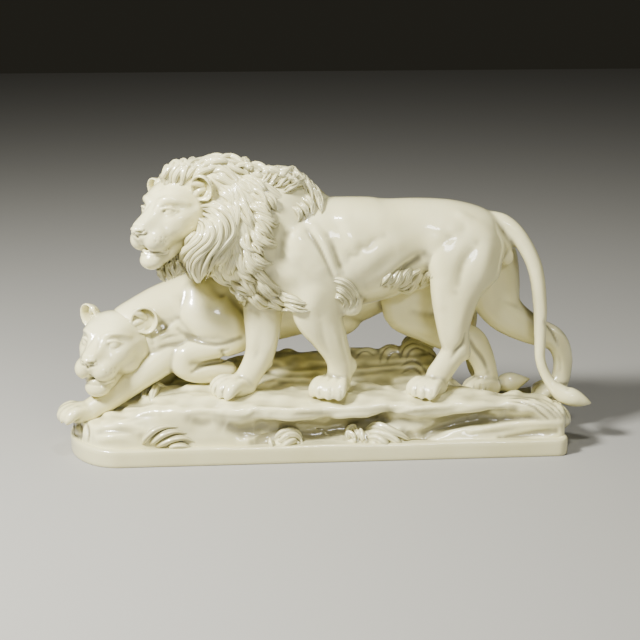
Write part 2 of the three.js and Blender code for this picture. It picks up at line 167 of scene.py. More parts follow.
def sweep(stations, side=LATERAL, around=28, along=48):
    """Limb: an ellipse carried along the curve through stations (x, y, z, half-width, half-depth).

    The half-width lies along side. Each end closes with a dome, whose rings shrink by the cosine as they
    advance by the sine.
    """
    s = curve(stations, along)
    centre, size = s[:, :3], np.maximum(s[:, 3:5], 0.3)
    tangent = unit(np.gradient(centre, axis=0))
    across = unit(side - tangent * (tangent @ side)[:, None])
    other = np.cross(tangent, across)
    angle = np.linspace(0, 2 * math.pi, around, endpoint=False)
    ellipse = (across[:, None] * (size[:, :1] * np.cos(angle))[..., None]
               + other[:, None] * (size[:, 1:] * np.sin(angle))[..., None])
    rings = centre[:, None] + ellipse
    reach = size.min(axis=1)

    def cap(row, sign):
        move = (np.sin(CAP_ANGLES) * reach[row] * sign)[:, None, None] * tangent[row]
        return centre[row] + ellipse[row] * np.cos(CAP_ANGLES)[:, None, None] + move

    rings = np.concatenate([cap(0, -1)[::-1], rings, cap(-1, 1)])
    return shell(rings, centre[0] - tangent[0] * reach[0], centre[-1] + tangent[-1] * reach[-1])


def ball(centre, radii, axes=np.eye(3)):
    """Ellipsoid with half-axes radii along the columns of axes, from rings of latitude."""
    around, down = 24, 16
    angle = np.linspace(0, 2 * math.pi, around, endpoint=False)
    rise = np.linspace(-math.pi / 2, math.pi / 2, down + 2)[1:-1, None]
    unit_ball = np.stack([np.cos(rise) * np.cos(angle), np.cos(rise) * np.sin(angle),
                          np.sin(rise) * np.ones_like(angle)], -1)

    def placed(points):
        return (points * np.asarray(radii, float)) @ axes.T + centre

    return shell(placed(unit_ball), placed(np.array([0, 0, -1.0])), placed(np.array([0, 0, 1.0])))


def loft(place, stations, around=84, along=64):
    """Head form: sections at x along the head, each the left half of its outline from top to bottom.

    Each half is mirrored. Smooth curves run round every section and from one section to the next.
    """
    fine = curve([[x, *np.ravel(half)] for x, half in stations], along)
    half = fine[:, 1:].reshape(along, -1, 2)
    ring = np.concatenate([half, half[:, -2:0:-1] * [-1, 1]], axis=1)
    knots = ring.shape[1]
    looped = np.concatenate([ring[:, -2:], ring, ring[:, :3]], axis=1)
    fold = around // knots
    spun = curve(looped.transpose(1, 0, 2).reshape(knots + 5, -1), (knots + 4) * fold + 1)
    spun = spun[2 * fold:(knots + 2) * fold].reshape(knots * fold, along, 2).transpose(1, 0, 2)
    forwards = np.broadcast_to(fine[:, None, :1], (along, knots * fold, 1))
    rings = place(np.concatenate([forwards, spun], axis=2))
    return shell(rings, rings[0].mean(axis=0), rings[-1].mean(axis=0))


def gather(shells):
    """Many shells as one set of points and faces."""
    points, quads, tris, start = [], [], [], 0
    for p, q, t in shells:
        points.append(p)
        quads.append(q + start)
        tris.append(t + start)
        start += len(p)
    return np.vstack(points), np.vstack(quads), np.vstack(tris)


def mesh_of(name, points, quads, tris=None, tones=None):
    """Blender mesh of the arrays, in metres; tones is glaze pooling and painted shade at each point."""
    tris = np.empty((0, 3), int) if tris is None else tris
    corners = np.concatenate([quads.ravel(), tris.ravel()]).astype(np.int32)
    sizes = np.concatenate([np.full(len(quads), 4), np.full(len(tris), 3)])
    starts = np.concatenate([[0], np.cumsum(sizes)[:-1]]).astype(np.int32)
    mesh = bpy.data.meshes.new(name)
    mesh.vertices.add(len(points))
    mesh.vertices.foreach_set("co", (points * METRES).astype(np.float32).ravel())
    mesh.loops.add(len(corners))
    mesh.loops.foreach_set("vertex_index", corners)
    mesh.polygons.add(len(sizes))
    mesh.polygons.foreach_set("loop_start", starts)
    mesh.update(calc_edges=True)
    mesh.polygons.foreach_set("use_smooth", np.ones(len(sizes), bool))
    # The crease attribute: glaze pooling together with painted shade
    if tones is not None:
        layer = mesh.attributes.new("crease", "FLOAT", "POINT")
        layer.data.foreach_set("value", tones.astype(np.float32))
    return mesh


def fuse(shells, cell):
    """One skin round all the shells, with quads of about the cell's size, by a voxel remesh."""
    clay = bpy.data.objects.new("clay", mesh_of("clay", *gather(shells)))
    bpy.context.scene.collection.objects.link(clay)
    remesh = clay.modifiers.new("fuse", "REMESH")
    remesh.mode = "VOXEL"
    remesh.voxel_size = cell * METRES
    worked = clay.evaluated_get(bpy.context.evaluated_depsgraph_get())
    mesh = worked.to_mesh()
    points = np.empty(len(mesh.vertices) * 3, np.float32)
    mesh.vertices.foreach_get("co", points)
    corners = np.empty(len(mesh.loops), np.int32)
    mesh.loops.foreach_get("vertex_index", corners)
    worked.to_mesh_clear()
    bpy.data.objects.remove(clay)
    return points.reshape(-1, 3).astype(float) * MILLIMETRES, corners.reshape(-1, 4)


class Clay:
    """A fused skin that can be softened and carved."""

    coarser = 1.3  # size of the base forms' cells beside the skin's
    pull = 0.6  # how much of the way to its neighbours' mean a point moves in one round
    stroke_reach = 2.4  # how far a stroke works, in its widths
    fine_width = 2.5  # below this width a pressed line is darkened: glaze pooling and painted shade
    deep_press = 3.0  # from this depth a wide one does as well

    def __init__(self, shells, cell, base=None, rounds=0):
        """Fuses the shells. Base shells, if any, are fused and softened by themselves first."""
        if base:
            core = Clay(base, cell * self.coarser)
            core.soften(rounds)
            shells = [(core.points, core.quads, np.empty((0, 3), int)), *shells]
        self.points, self.quads = fuse(shells, cell)
        self.start = self.quads.ravel()
        self.end = np.roll(self.quads, -1, axis=1).ravel()
        self.count = np.bincount(self.start, minlength=len(self.points))[:, None]
        self.depth = np.zeros(len(self.points))

    def middle(self, values):
        """Mean of each point's neighbours."""
        total = len(self.points)
        sums = [np.bincount(self.start, values[self.end, k], total) for k in range(values.shape[1])]
        return np.stack(sums, 1) / self.count

    def soften(self, rounds, where=1.0):
        """Each point moves part of the way to the mean of its neighbours, rounds times.

        The part is the skin's pull times the point's share in where.
        """
        share = np.broadcast_to(np.asarray(where, float), len(self.points))[:, None] * self.pull
        for _ in range(rounds):
            self.points = self.points + (self.middle(self.points) - self.points) * share

    def blend(self, spots, rounds=24):
        """Softens the skin round drawn spots (column, row, reach in mm), where limbs run into the trunk."""
        tree = self.tree()
        share = np.zeros(len(self.points))
        for column, row, reach in spots:
            gap = np.linalg.norm(self.points - lay(tree, (column, row))[0], axis=1)
            share = np.maximum(share, np.exp(-((gap / reach) ** 2)))
        self.soften(rounds, share)

    def normals(self):
        """Unit normal of each point: the sum of its faces' diagonal products, at length 1."""
        p = self.points[self.quads]
        face = np.cross(p[:, 2] - p[:, 0], p[:, 3] - p[:, 1])
        corner = np.repeat(face, 4, axis=0)
        return unit(np.stack([np.bincount(self.start, corner[:, k], len(self.points)) for k in range(3)], 1))

    def tree(self):
        """Search tree over the skin, for laying strokes on it."""
        return BVHTree.FromPolygons(self.points.tolist(), self.quads.tolist())

    def stroke(self, normals, path, width, height):
        """Raises the skin along a path by height·exp(-(gap/width)²), or presses it in by a negative height.

        The ends fade by the root of a sine, in full on a path of five widths or more and in proportion on a
        shorter one. A narrow pressed line and a deep wide one are darkened: glaze pooling and painted shade.
        """
        reach = width * self.stroke_reach
        low, high = path.min(axis=0) - reach, path.max(axis=0) + reach
        near = np.nonzero(((self.points > low) & (self.points < high)).all(axis=1))[0]
        if not len(near):
            return
        p = self.points[near]
        gap = np.full(len(near), 1e9)
        along = np.zeros(len(near))
        last = max(len(path) - 1, 1)
        for i, (a, b) in enumerate(zip(path[:-1], path[1:])):
            run = b - a
            t = np.clip(((p - a) @ run) / max(run @ run, 1e-9), 0, 1)
            here = np.linalg.norm(p - a - run * t[:, None], axis=1)
            along = np.where(here < gap, (i + t) / last, along)
            gap = np.minimum(gap, here)
        inside = gap < reach
        chosen, gap, along = near[inside], gap[inside], along[inside]
        length = np.linalg.norm(np.diff(path, axis=0), axis=1).sum()
        fading = min(1.0, length / (5 * width))
        ends = 1 - fading * (1 - np.sqrt(np.sin(math.pi * np.clip(along, 0.06, 0.94))))
        share = np.exp(-((gap / width) ** 2)) * ends
        self.points[chosen] += normals[chosen] * (height * share)[:, None]
        fine = width < self.fine_width
        # A narrow or deep pressed line is darkened: glaze pooling and painted shade
        if height < 0 and (fine or height <= -self.deep_press):
            shade = min(1.0, -height / 2.0) if fine else 0.8
            self.depth[chosen] = np.maximum(self.depth[chosen], share * shade)

    def work(self, strokes):
        """Works strokes (path, width, height) one by one, all along the normals that the skin starts with."""
        normals = self.normals()
        for path, width, height in strokes:
            self.stroke(normals, path, width, height)

    def carve(self, strokes):
        """Carves strokes that are drawn on the sheet: (points, width, height). They are laid on the skin."""
        tree = self.tree()
        self.work([(np.array([lay(tree, p)[0] for p in drawn_line(points)]), width, height)
                   for points, width, height in strokes])

    def carve_in(self, place, strokes):
        """Carves strokes that are given in an animal's own head frame."""
        self.work([(place(drawn_line(points)), width, height) for points, width, height in strokes])

    def tones(self, carved=0.75, underside=0.34, folds=3.0, cover=0.0):
        """How far each point is darkened, from 0 to 1: glaze pooling and painted shade.

        It is the sum of the broad painted shade on open faces, carved times the depth of the pressed lines,
        folds times how many mm a point lies below the skin after eight rounds of softening, the last two
        glaze pooling and painted shade in lines and hollows, and underside, painted shade where the skin
        looks down.
        """
        mean = self.points
        for _ in range(8):
            mean = mean + (self.middle(mean) - mean) * 0.7
        # Glaze pooling and painted shade in the hollows
        hollow = np.einsum("ij,ij->i", mean - self.points, self.normals())
        # Painted shade where the skin looks down
        under = underside * ease(0.0, 0.9, -self.normals()[:, 2])
        return np.clip(cover + carved * self.depth + hollow * folds + under, 0, 1)


def ray(square):
    """Direction in which a square of the drawing sheet is seen."""
    focal = LENS / SENSOR * SHEET
    column, row = square
    return unit(-BACK + RIGHT * (column - SHEET / 2) / focal + UP * (SHEET / 2 - row) / focal)


def spot(column, row, y):
    """Point seen at a square of the sheet, in the upright plane at y."""
    way = ray((column, row))
    return EYE + way * (y - EYE[1]) / way[1]


def on_sheet(stations):
    """Stations of a limb whose middle line is drawn: (column, row, y, half-width, half-depth)."""
    return [(*spot(*s[:3]), *s[3:]) for s in stations]


OPEN_DEPTH = -40.0  # the upright plane in which an open square is taken to lie
OVERHANG = 2.5  # how far a stroke may stand off the skin at an open square


def lay(tree, square):
    """Point and normal where a drawn square falls on the skin.

    An open square, which the skin isn't behind, gives the skin's nearest place, moved towards the square's
    line of sight by the overhang at most.
    """
    way = ray(square)
    hit, normal, _, _ = tree.ray_cast(Vector(EYE), Vector(way))
    if hit is None:
        hit, normal, _, _ = tree.find_nearest(Vector(spot(*square, OPEN_DEPTH)))
        hit = np.array(hit)
        away = spot(*square, hit[1]) - hit
        far = np.linalg.norm(away)
        return hit + away * min(1.0, OVERHANG / max(far, 1e-6)), np.array(normal)
    return np.array(hit), np.array(normal)


# Ground

PLINTH_LENGTH, PLINTH_DEPTH, PLINTH_HEIGHT = 395.0, 116.0, 14.0
PLINTH_END_RADIUS, PLINTH_CORNER_RADIUS = 42.0, 9.0
PLINTH_PLAY = 0.3  # how far the plinth's wall stays inside its outline
ROCK_LOW, ROCK_TOP, ROCK_RIGHT = 27.0, 43.0, 33.0
ROCK_BACK_LEFT, ROCK_CREST, ROCK_BACK_RIGHT = 44.0, 62.0, 27.0
ROCK_INSET = 8.0  # from the plinth's edge to the rock
ROCK_FOOT = PLINTH_HEIGHT - 3  # the rock starts inside the plinth
ROCK_TERRACE = 6.4  # height of the thin steps on the rock's back
BENCH = 4.5  # rise from the rim of the ledge to where the lion stands
SINK = 2.2  # how deep the paws are set into the ground
BASE_SHADE = 0.3  # even painted shade over the rock and the plinth


def ground(x, y):
    """Height of the ground: a slope up from the left tip, a ledge, a crest behind it and a low right end."""
    ledge = mix(ROCK_LOW, ROCK_TOP, ease(-198, -118, x))
    front = mix(ledge, ROCK_RIGHT, ease(165, 205, x))
    crest = mix(ROCK_BACK_LEFT, ROCK_CREST, ease(-110, -40, x))
    rightward = ease(96, 132, x)
    back = mix(mix(ROCK_LOW, crest, ease(-195, -120, x)), ROCK_BACK_RIGHT, rightward)
    low, high = mix(-8, -30, rightward), mix(40, 34, rightward)
    backward = ease(low, high, y)
    bench = BENCH * ease(-54, -30, y) * ease(-150, -95, x) * (1 - ease(110, 150, x))
    strata = 0.8 * np.sin(x * 0.11 + y * 0.23) + 0.5 * np.sin(x * 0.31 - y * 0.12)
    return mix(front, back, backward) + bench * (1 - backward) + strata


def plinth_half_depth(x):
    """Half the plinth's depth at x: half-ellipse on the left, straight, then a small round corner."""
    half = PLINTH_DEPTH / 2
    into_end = np.clip((-PLINTH_LENGTH / 2 + PLINTH_END_RADIUS - x) / PLINTH_END_RADIUS, 0, 1)
    into_corner = np.clip(x - PLINTH_LENGTH / 2 + PLINTH_CORNER_RADIUS, 0, PLINTH_CORNER_RADIUS)
    rounded = PLINTH_CORNER_RADIUS - np.sqrt(PLINTH_CORNER_RADIUS**2 - into_corner**2)
    return half * np.sqrt(1 - into_end**2) - rounded


def plinth():
    """Plinth: its outline, carried up a profile with a small round at the foot and a soft roll at the rim."""
    half = PLINTH_DEPTH / 2
    left = -PLINTH_LENGTH / 2 + PLINTH_END_RADIUS
    right = PLINTH_LENGTH / 2 - PLINTH_CORNER_RADIUS
    bow = np.linspace(math.pi / 2, 1.5 * math.pi, 90)
    arc = np.linspace(-math.pi / 2, 0, 14)
    side = np.linspace(left, right, 120)[1:-1]
    end = np.stack([left + PLINTH_END_RADIUS * np.cos(bow), half * np.sin(bow)], 1)
    front = np.stack([side, np.full(len(side), -half)], 1)
    corner = np.stack([right + PLINTH_CORNER_RADIUS * np.cos(arc),
                       -half + PLINTH_CORNER_RADIUS + PLINTH_CORNER_RADIUS * np.sin(arc)], 1)
    outline = np.concatenate([end, front, corner, corner[::-1] * [1, -1], front[::-1] * [1, -1]])
    normal = np.roll(outline, -1, axis=0) - np.roll(outline, 1, axis=0)
    normal = unit(np.stack([normal[:, 1], -normal[:, 0]], 1))
    # How far in from the wall, and how high
    profile = [(6.0, 0.0), (1.2, 0.0), (0.5, 0.3), (0.1, 1.0), (0.0, 3.0), (0.0, 10.0), (0.1, 12.2),
               (0.6, 13.4), (1.6, 14.0), (3.0, 14.0), (6.0, 13.6), (12.0, 13.4)]
    rings = []
    for inward, z in profile:
        wander = 0.35 * np.sin(outline[:, 0] * 0.06 + 1) * ease(8, 13, z)
        ring = outline - normal * (inward + PLINTH_PLAY)
        rings.append(np.column_stack([ring, np.full(len(ring), z) + (wander if z > 3 else 0)]))
    return shell(np.array(rings), [0, 0, 0.0], [0, 0, 13.0])


def rock():
    """Rock: an upright section carried along X, from the front wall's foot over the ground to the back's.

    The front wall leans back under a ledge, and the top follows the ground in thin terraces. A terrace
    takes part of the ground's fall between two steps together, by the ease curve.
    """
    left, right = -PLINTH_LENGTH / 2 + 3, PLINTH_LENGTH / 2 - 2
    x = left + (right - left) * np.linspace(0, 1, 430)[:, None] ** 1.06
    half = np.maximum(4, plinth_half_depth(x) - ROCK_INSET)
    undercut = 7 * ease(-75, -35, x) * (1 - ease(150, 190, x)) * (1 + 0.3 * np.sin(x * 0.05))
    wander = 1.4 * np.sin(x * 0.05) + 0.8 * np.sin(x * 0.13 + 1) + 0.35 * np.sin(x * 0.31)
    slope = 10 * (1 - ease(-135, -105, x))
    front_top = ground(x, -half)

    wall = np.linspace(0, 1, 44)[None, :]
    knots = [0, 0.28, 0.52, 0.78, 0.93, 1.0]
    lean = [-half * 0.98 - 2, -half + undercut * 0.5, -half + undercut + wander * 0.5,
            -half + wander * 0.7 + slope * 0.35, -half + wander + slope * 0.65,
            -half + wander + slope + 3.5]
    wall_y = np.zeros((len(x), wall.shape[1]))
    for a, b, low, high in zip(knots[:-1], knots[1:], lean[:-1], lean[1:]):
        wall_y = np.where(wall >= a, mix(low, high, ease(a, b, wall)), wall_y)
    wall_z = mix(ROCK_FOOT, front_top, wall)

    top_y = mix(wall_y[:, -1:], half - 3.5, np.linspace(0, 1, 92)[None, 1:])
    top_z = ground(x, top_y)
    grain = np.sin(x * 0.045 + np.sin(top_y * 0.11 + x * 0.02) * 1.7) + 0.5 * np.sin(x * 0.11 - top_y * 0.21)
    fine = 0.2 * np.sin(x * 0.33 + top_y * 0.5) + 0.1 * np.sin(x * 0.71 - top_y * 0.3)
    phase = (top_z + 1.5 * grain + fine + 0.10 * top_y) / ROCK_TERRACE
    share = phase - np.floor(phase)
    top_z = top_z + 0.62 * ROCK_TERRACE * (ease(0.25, 0.62, share) - share) * ease(-44, -20, top_y)
    top_z = top_z - 2.5 * ease(105, 130, x) * ease(-30, 0, top_y)
    rear = np.linspace(0, 1, 14)[None, 1:]
    rear_y = mix(half - 3.5, half, np.sqrt(np.sin(rear * math.pi / 2)))
    rear_z = mix(top_z[:, -1:], ROCK_FOOT, rear)
    join = (top_z[:, :1] - wall_z[:, -1:]) * ease(0.6, 1, wall)
    y = np.concatenate([wall_y, top_y, rear_y], axis=1)
    z = np.concatenate([wall_z + join, top_z, rear_z], axis=1)
    rings = np.stack([np.broadcast_to(x, y.shape), y, z], -1)
    return shell(rings, rings[0].mean(axis=0), rings[-1].mean(axis=0))


# Animals: paws, heads and trunks

def paw_shells(x, y, yaw, size=1.0, rise=0.0):
    """Paw: a dome over four toe rolls and a heel, heading along yaw, at rise above the ground."""
    axes = heading(yaw)
    rest = np.array([x, y, float(ground(np.float64(x), np.float64(y))) - SINK + rise])

    def at(points):
        return (np.asarray(points, float) * size) @ axes.T + rest

    def roll(points, radii):
        stations = np.column_stack([at(points), np.asarray(radii, float) * size])
        return sweep(stations, side=axes[:, 1], around=18, along=14)

    # Each toe's place to the side, how far it reaches forward and its radius
    toes = [(-9.2, 1.0, 4.4), (-3.2, 3.2, 4.8), (3.2, 3.2, 4.8), (9.2, 1.0, 4.4)]
    shells = [
        ball(at([3, 0, 6.5]), np.array([13.5, 11.5, 8.6]) * size, axes),
        ball(at([-3, 0, 5]), np.array([9, 10.5, 7]) * size, axes),
    ]
    for side, ahead, radius in toes:
        fan = side * 1.08
        shells.append(roll(
            [[2, side * 0.82, 9.0], [8 + ahead * 0.5, side, 9.8], [12.5 + ahead, fan, 7.4],
             [15.4 + ahead, fan * 1.02, 4.2], [16.6 + ahead, fan * 1.02, 2.0]],
            [[radius * 0.85, 4.2], [radius * 0.97, 4.8], [radius * 1.02, 4.9], [radius * 0.95, 3.8],
             [radius * 0.6, 1.8]],
        ))
    return shells


def head_place(centre, axes):
    """Function that takes points from a head's own frame, forwards, left and up, to the group's frame."""
    return lambda points: np.asarray(points, float) @ axes.T + np.asarray(centre, float)


def mirrored(points):
    """The same points on the head's other side."""
    return [(p[0], -p[1], p[2], *p[3:]) for p in points]


def ear_shell(place, axes, side, ear):
    """Cupped ear: rings run from the back over the rolled rim and down into the hollow, and folds lie in it.

    ear gives where it stands on the head, its turns, its radius and how tall it is beside its width.
    """
    own = axes @ turn_z(side * ear["outward"]) @ turn_y(ear["lean"]) @ turn_x(-side * ear["spread"])
    radius, tall = ear["radius"], ear["tall"]
    centre = place(ear["at"])
    angle = np.linspace(0, 2 * math.pi, 48, endpoint=False)
    outline = 1 + 0.05 * np.cos(2 * angle) - 0.10 * np.exp(-((angle - 1.5 * math.pi) / 0.45) ** 2)
    rows = [(-0.80, 0.30), (-0.70, 0.55), (-0.48, 0.78), (-0.16, 0.93), (0.10, 1.0), (0.24, 1.03),
            (0.34, 0.97), (0.30, 0.88), (0.12, 0.80), (-0.10, 0.75), (-0.34, 0.64), (-0.50, 0.45),
            (-0.54, 0.2)]

    def stood(points):
        return (points * radius) @ own.T + centre

    rings = []
    for forward, size in rows:
        across = 0.92 * size * outline * np.cos(angle)
        up = tall * size * outline * np.sin(angle)
        rings.append(stood(np.stack([np.full(len(angle), forward), across, up], 1)))
    behind, bottom = [stood(np.array([forward, 0, 0])) for forward in (-0.83, -0.54)]
    folds = []
    for thick, *line in ((0.26, (0.08, -0.75, 0.35), (0.0, -0.42, 0.3), (-0.25, -0.05, 0.15)),
                         (0.24, (0.08, -0.65, -0.45), (0.0, -0.38, -0.25), (-0.25, 0.0, -0.15)),
                         (0.16, (0.0, -0.1, -0.85), (-0.05, 0.12, -0.6), (-0.25, 0.3, -0.4))):
        line = stood(np.array(line) * [1, side, tall])
        stations = np.column_stack([line, np.full((3, 2), thick * radius)])
        folds.append(sweep(stations, side=own[:, 0], around=12, along=14))
    return [shell(np.array(rings), behind, bottom), *folds]


# Sections of the skull and upper muzzle: x, and (y, z) of the left half from the top to the underside
SKULL = [
    (-22, [(0, -2), (7, -3), (13, -8), (15, -16), (12, -26), (6, -31), (0, -32)]),
    (-14, [(0, 4), (10, 2.5), (18, -4), (21.5, -15), (20, -27), (11, -36), (0, -38)]),
    (-2, [(0, 8), (12, 6), (21, -1.5), (25, -14), (25, -27), (16, -38), (0, -42)]),
    (8, [(0, 8), (11, 6), (19.5, -1), (24.5, -13), (25, -26), (17, -38), (0, -43)]),
    (16, [(0, 5), (9.5, 3.8), (17.5, -2), (21.5, -12.5), (24, -22), (18, -36), (0, -43)]),
    (23, [(0, 0), (8, -0.2), (14.5, -3.8), (16.6, -13), (21.5, -20.5), (17.5, -34), (0, -42)]),
    (29, [(0, -6.5), (6, -6.2), (10.4, -7.6), (9.6, -14), (17, -21.5), (15.5, -34), (0, -41)]),
    (35, [(0, -11.5), (5.2, -11.8), (7.4, -14.5), (9.6, -19.5), (13.5, -27), (14, -35), (0, -40)]),
    (41, [(0, -15.6), (5, -16), (7, -18.8), (9, -23.5), (12, -30), (11, -37), (0, -39.5)]),
    (47, [(0, -19), (4.8, -19.4), (6.4, -21.8), (7.8, -25.5), (9, -31), (7, -36), (0, -38)]),
    (52.5, [(0, -21.8), (4.2, -22.2), (5, -23.6), (5.2, -26), (5.4, -29), (3.6, -32), (0, -33)]),
]


def head_shells(centre, axes, face):
    """Shells of a head, as the soft base forms and the features that stand on them.

    They are given in the head's own frame, forwards, left and up. face gives what differs between the two
    animals: the nose's tip, how far ahead the eyes are, the eyeball's half-axes, how high and how heavy the
    brow is, the depth of the frown over it, how far the crown is lowered, the middle and half-axes of the
    whisker pads and the chin, the jowls, the mouth's line, the beard and the ears.
    """
    place = head_place(centre, axes)
    left, upright = axes[:, 1], axes[:, 2]

    def bar(stations, side=left, **more):
        s = np.asarray(stations, float)
        return sweep(np.column_stack([place(s[:, :3]), s[:, 3:]]), side=side, **more)

    def lump(at, radii):
        return ball(place(at), radii, axes)

    reach, nose = face["nose"]
    stretch = (reach - 29) / 27.5
    sections = [(x if x < 29 else 29 + (x - 29) * stretch,
                 [(y, z - face["crown"] * float(ease(-6, 5, z)) + (nose + 23.7) * float(ease(30, 56, x)))
                  for y, z in half]) for x, half in SKULL]
    chin, chin_z = face["chin"]
    deep, wide, high = face["chin_size"]
    pad, pad_y, pad_z = face["pad"]
    brow, ridge = face["brow"], face["ridge"]
    skull = loft(place, sections)
    jaw = bar([(0, 0, -35, 17, 10), (14, 0, chin_z + 10, 14.5, 9.5), (chin - 7, 0, chin_z + 2.5, 11.5, 7.5)],
              around=40)
    base = [skull, jaw, lump((chin, 0, chin_z), (deep, wide, high)), *(bar(line) for line in face["beard"])]
    for s in (-1, 1):
        whisker_pad = lump((pad, s * pad_y, pad_z), face["pad_size"])
        jowls = [lump((x, s * y, z), radii) for x, y, z, *radii in face["jowls"]]
        cheekbone = bar([(30, s * 8.5, -21.5, 3, 3), (22, s * 16, -19.5, 4.5, 4), (8, s * 21.5, -16, 5, 5)],
                        side=upright)
        brow_ridge = bar([(29, s * 3.8, brow - 8.8, 3.0 * ridge, 2.6),
                          (27.4, s * 9.5, brow - 6.6, 3.2 * ridge, 2.9),
                          (23, s * 15, brow - 7.2, 3.2 * ridge, 2.9),
                          (15, s * 20, brow - 10.5, 2.8 * ridge, 2.8)], side=upright)
        base += [whisker_pad, *jowls, cheekbone, brow_ridge]
    lip = chin_z + 6.2
    features = [lump((reach - 4.4, 0, nose - 2.9), (4.5, 6.0, 4.0))]
    for s in (1, -1):
        features.append(bar([(chin + 5.8, 0, lip, 2.3, 2.0), (chin + 4.4, s * 5, lip, 2.3, 2.0),
                             (chin + 0.2, s * 9.2, lip, 2.1, 2.0), (chin - 5, s * 11.6, lip, 1.8, 1.8)],
                            side=upright))
    eye = face["eye"]
    for s in (-1, 1):
        nostril_wing = lump((reach - 5.8, s * 4.7, nose - 3.6), (3.6, 2.9, 3.2))
        eyeball = lump((eye, s * 11.2, -14.7), face["eyeball"])
        upper_lid = bar([(eye + 4.4, s * 6.2, -16.4, 0.8, 0.8), (eye + 5.3, s * 9.4, -11.9, 1.3, 1.2),
                         (eye + 3.0, s * 13.8, -11.4, 1.4, 1.3), (eye - 2.0, s * 17.6, -14.2, 0.8, 0.8)],
                        side=upright, around=12, along=24)
        lower_lid = bar([(eye + 4.4, s * 6.4, -16.8, 0.7, 0.7), (eye + 4.8, s * 10.2, -18.2, 1.1, 1.0),
                         (eye + 2.2, s * 14.4, -17.4, 1.1, 1.0), (eye - 2.0, s * 17.6, -14.6, 0.7, 0.7)],
                        side=upright, around=12, along=24)
        features += [nostril_wing, eyeball, upper_lid, lower_lid, *ear_shell(place, axes, s, face["ears"][s])]
    return base, features


def face_strokes(face):
    """Carved lines of the face in the head's frame: nostrils, cleft, mouth, eyes, brow and whisker spots."""
    reach, nose = face["nose"]
    pad, pad_y, pad_z = face["pad"]
    deep, wide, high = face["pad_size"]
    eye = face["eye"]
    foot = pad_z - high
    centre_line = [
        ([(-6, 0, 12), (10, 0, 9), (22, 0, 1)], 2.6, -0.7),
        ([(reach - 0.5, 0, nose - 5), (reach - 3, 0, nose - 7.5), (pad + deep - 4, 0, pad_z),
          (pad + deep - 5, 0, foot + 1)], 0.9, -1.7),
        (face["mouth"][:2], 1.6, -1.6),
    ]
    # Whisker spots: how far ahead in the pad, as a share of its depth, and how far above its middle
    spots = [(0.62, 3.0), (0.34, 2.6), (0.05, 2.2), (0.70, 0.4), (0.40, -0.6), (0.10, -1.0), (0.60, -3.2),
             (0.28, -3.8)]
    paired = [
        ([(reach - 0.9, 2.6, nose - 3.6), (reach - 2.6, 5.0, nose - 4.3), (reach - 5.2, 6.6, nose - 2.8)],
         1.3, -3.4),
        ([(reach - 2.0, 1.6, nose - 6.2), (reach - 4.0, 4.8, nose - 6.4), (reach - 7, 7.6, nose - 5.2)],
         1.0, -1.3),
        (face["mouth"], 1.15, -2.0),
        ([(eye + 5.6, 5.6, -17.6), (eye + 9, 6.0, -20.5), (eye + 13, 7.2, -24)], 1.3, -0.8),
        ([(eye + 4.8, 7.2, -15.4), (eye + 4.0, 11.0, -14.2), (eye + 1.2, 15.0, -14.0)], 0.7, -0.7),
        ([(eye + 6.2, 7.4, -10.4), (eye + 3.6, 13.4, -9.6), (eye - 1.5, 18, -11.5)], 1.2, -face["frown"]),
        ([(31, 2.4, -8), (35, 3.6, -13), (40, 4.6, -17.5)], 1.6, -0.5),
        ([(pad - 5, pad_y + 8, pad_z + 6), (pad - 9, pad_y + 10, pad_z - 1), (pad - 10, pad_y + 8.5, foot)],
         3.0, -0.4),
        *(([(pad + deep * share, pad_y + wide * math.sqrt(1 - share**2) * 0.97, pad_z + up)], 0.7, -0.45)
          for share, up in spots),
    ]
    return centre_line + paired + [(mirrored(p), w, h) for p, w, h in paired]


# Where the heads stand, how they are turned and what each face is made of, in the head's own frame. The nose
# and the chin are given by how far ahead and how high they are, and the ears by side, 1 for the left one.
LION_HEAD = (-104.5, -18.0, 212.7)
LION_AXES = heading(math.radians(48.5), 0, math.radians(3.6))
LIONESS_HEAD = (-157.9, 7.5, 104.1)
LIONESS_AXES = heading(math.radians(63))
LION_FACE = {
    "nose": (54.6, -23.0),
    "eye": 25.6,
    "eyeball": (4.7, 5.0, 4.5),
    "brow": 0.3,
    "ridge": 1.0,
    "frown": 0.9,
    "crown": 0.0,
    "pad": (35.6, 7.0, -34.4),
    "pad_size": (13.4, 8.9, 10.0),
    "jowls": [(25, 9, -31, 14, 8, 9)],
    "chin": (36.8, -50.4),
    "chin_size": (9.4, 9.8, 7.6),
    "mouth": [(45.6, 0.6, -42.8), (43.2, 5, -43.8), (38.8, 10.2, -44.8), (34.5, 13.2, -46.0),
              (31, 14.6, -47.6)],
    "beard": [[(8, 0, -49, 12, 9), (14, 0, -57, 9, 7), (18.5, 0, -64, 6, 5), (21, 0, -70, 1, 1)]],
    "ears": {
        1: {"at": (5.5, 27.5, 1.0), "outward": 0.25, "lean": 0.28, "spread": 0.0, "radius": 9.2,
            "tall": 1.25},
        -1: {"at": (1.0, -24.0, -2.5), "outward": 0.15, "lean": 0.15, "spread": 0.15, "radius": 8.6,
             "tall": 1.1},
    },
}
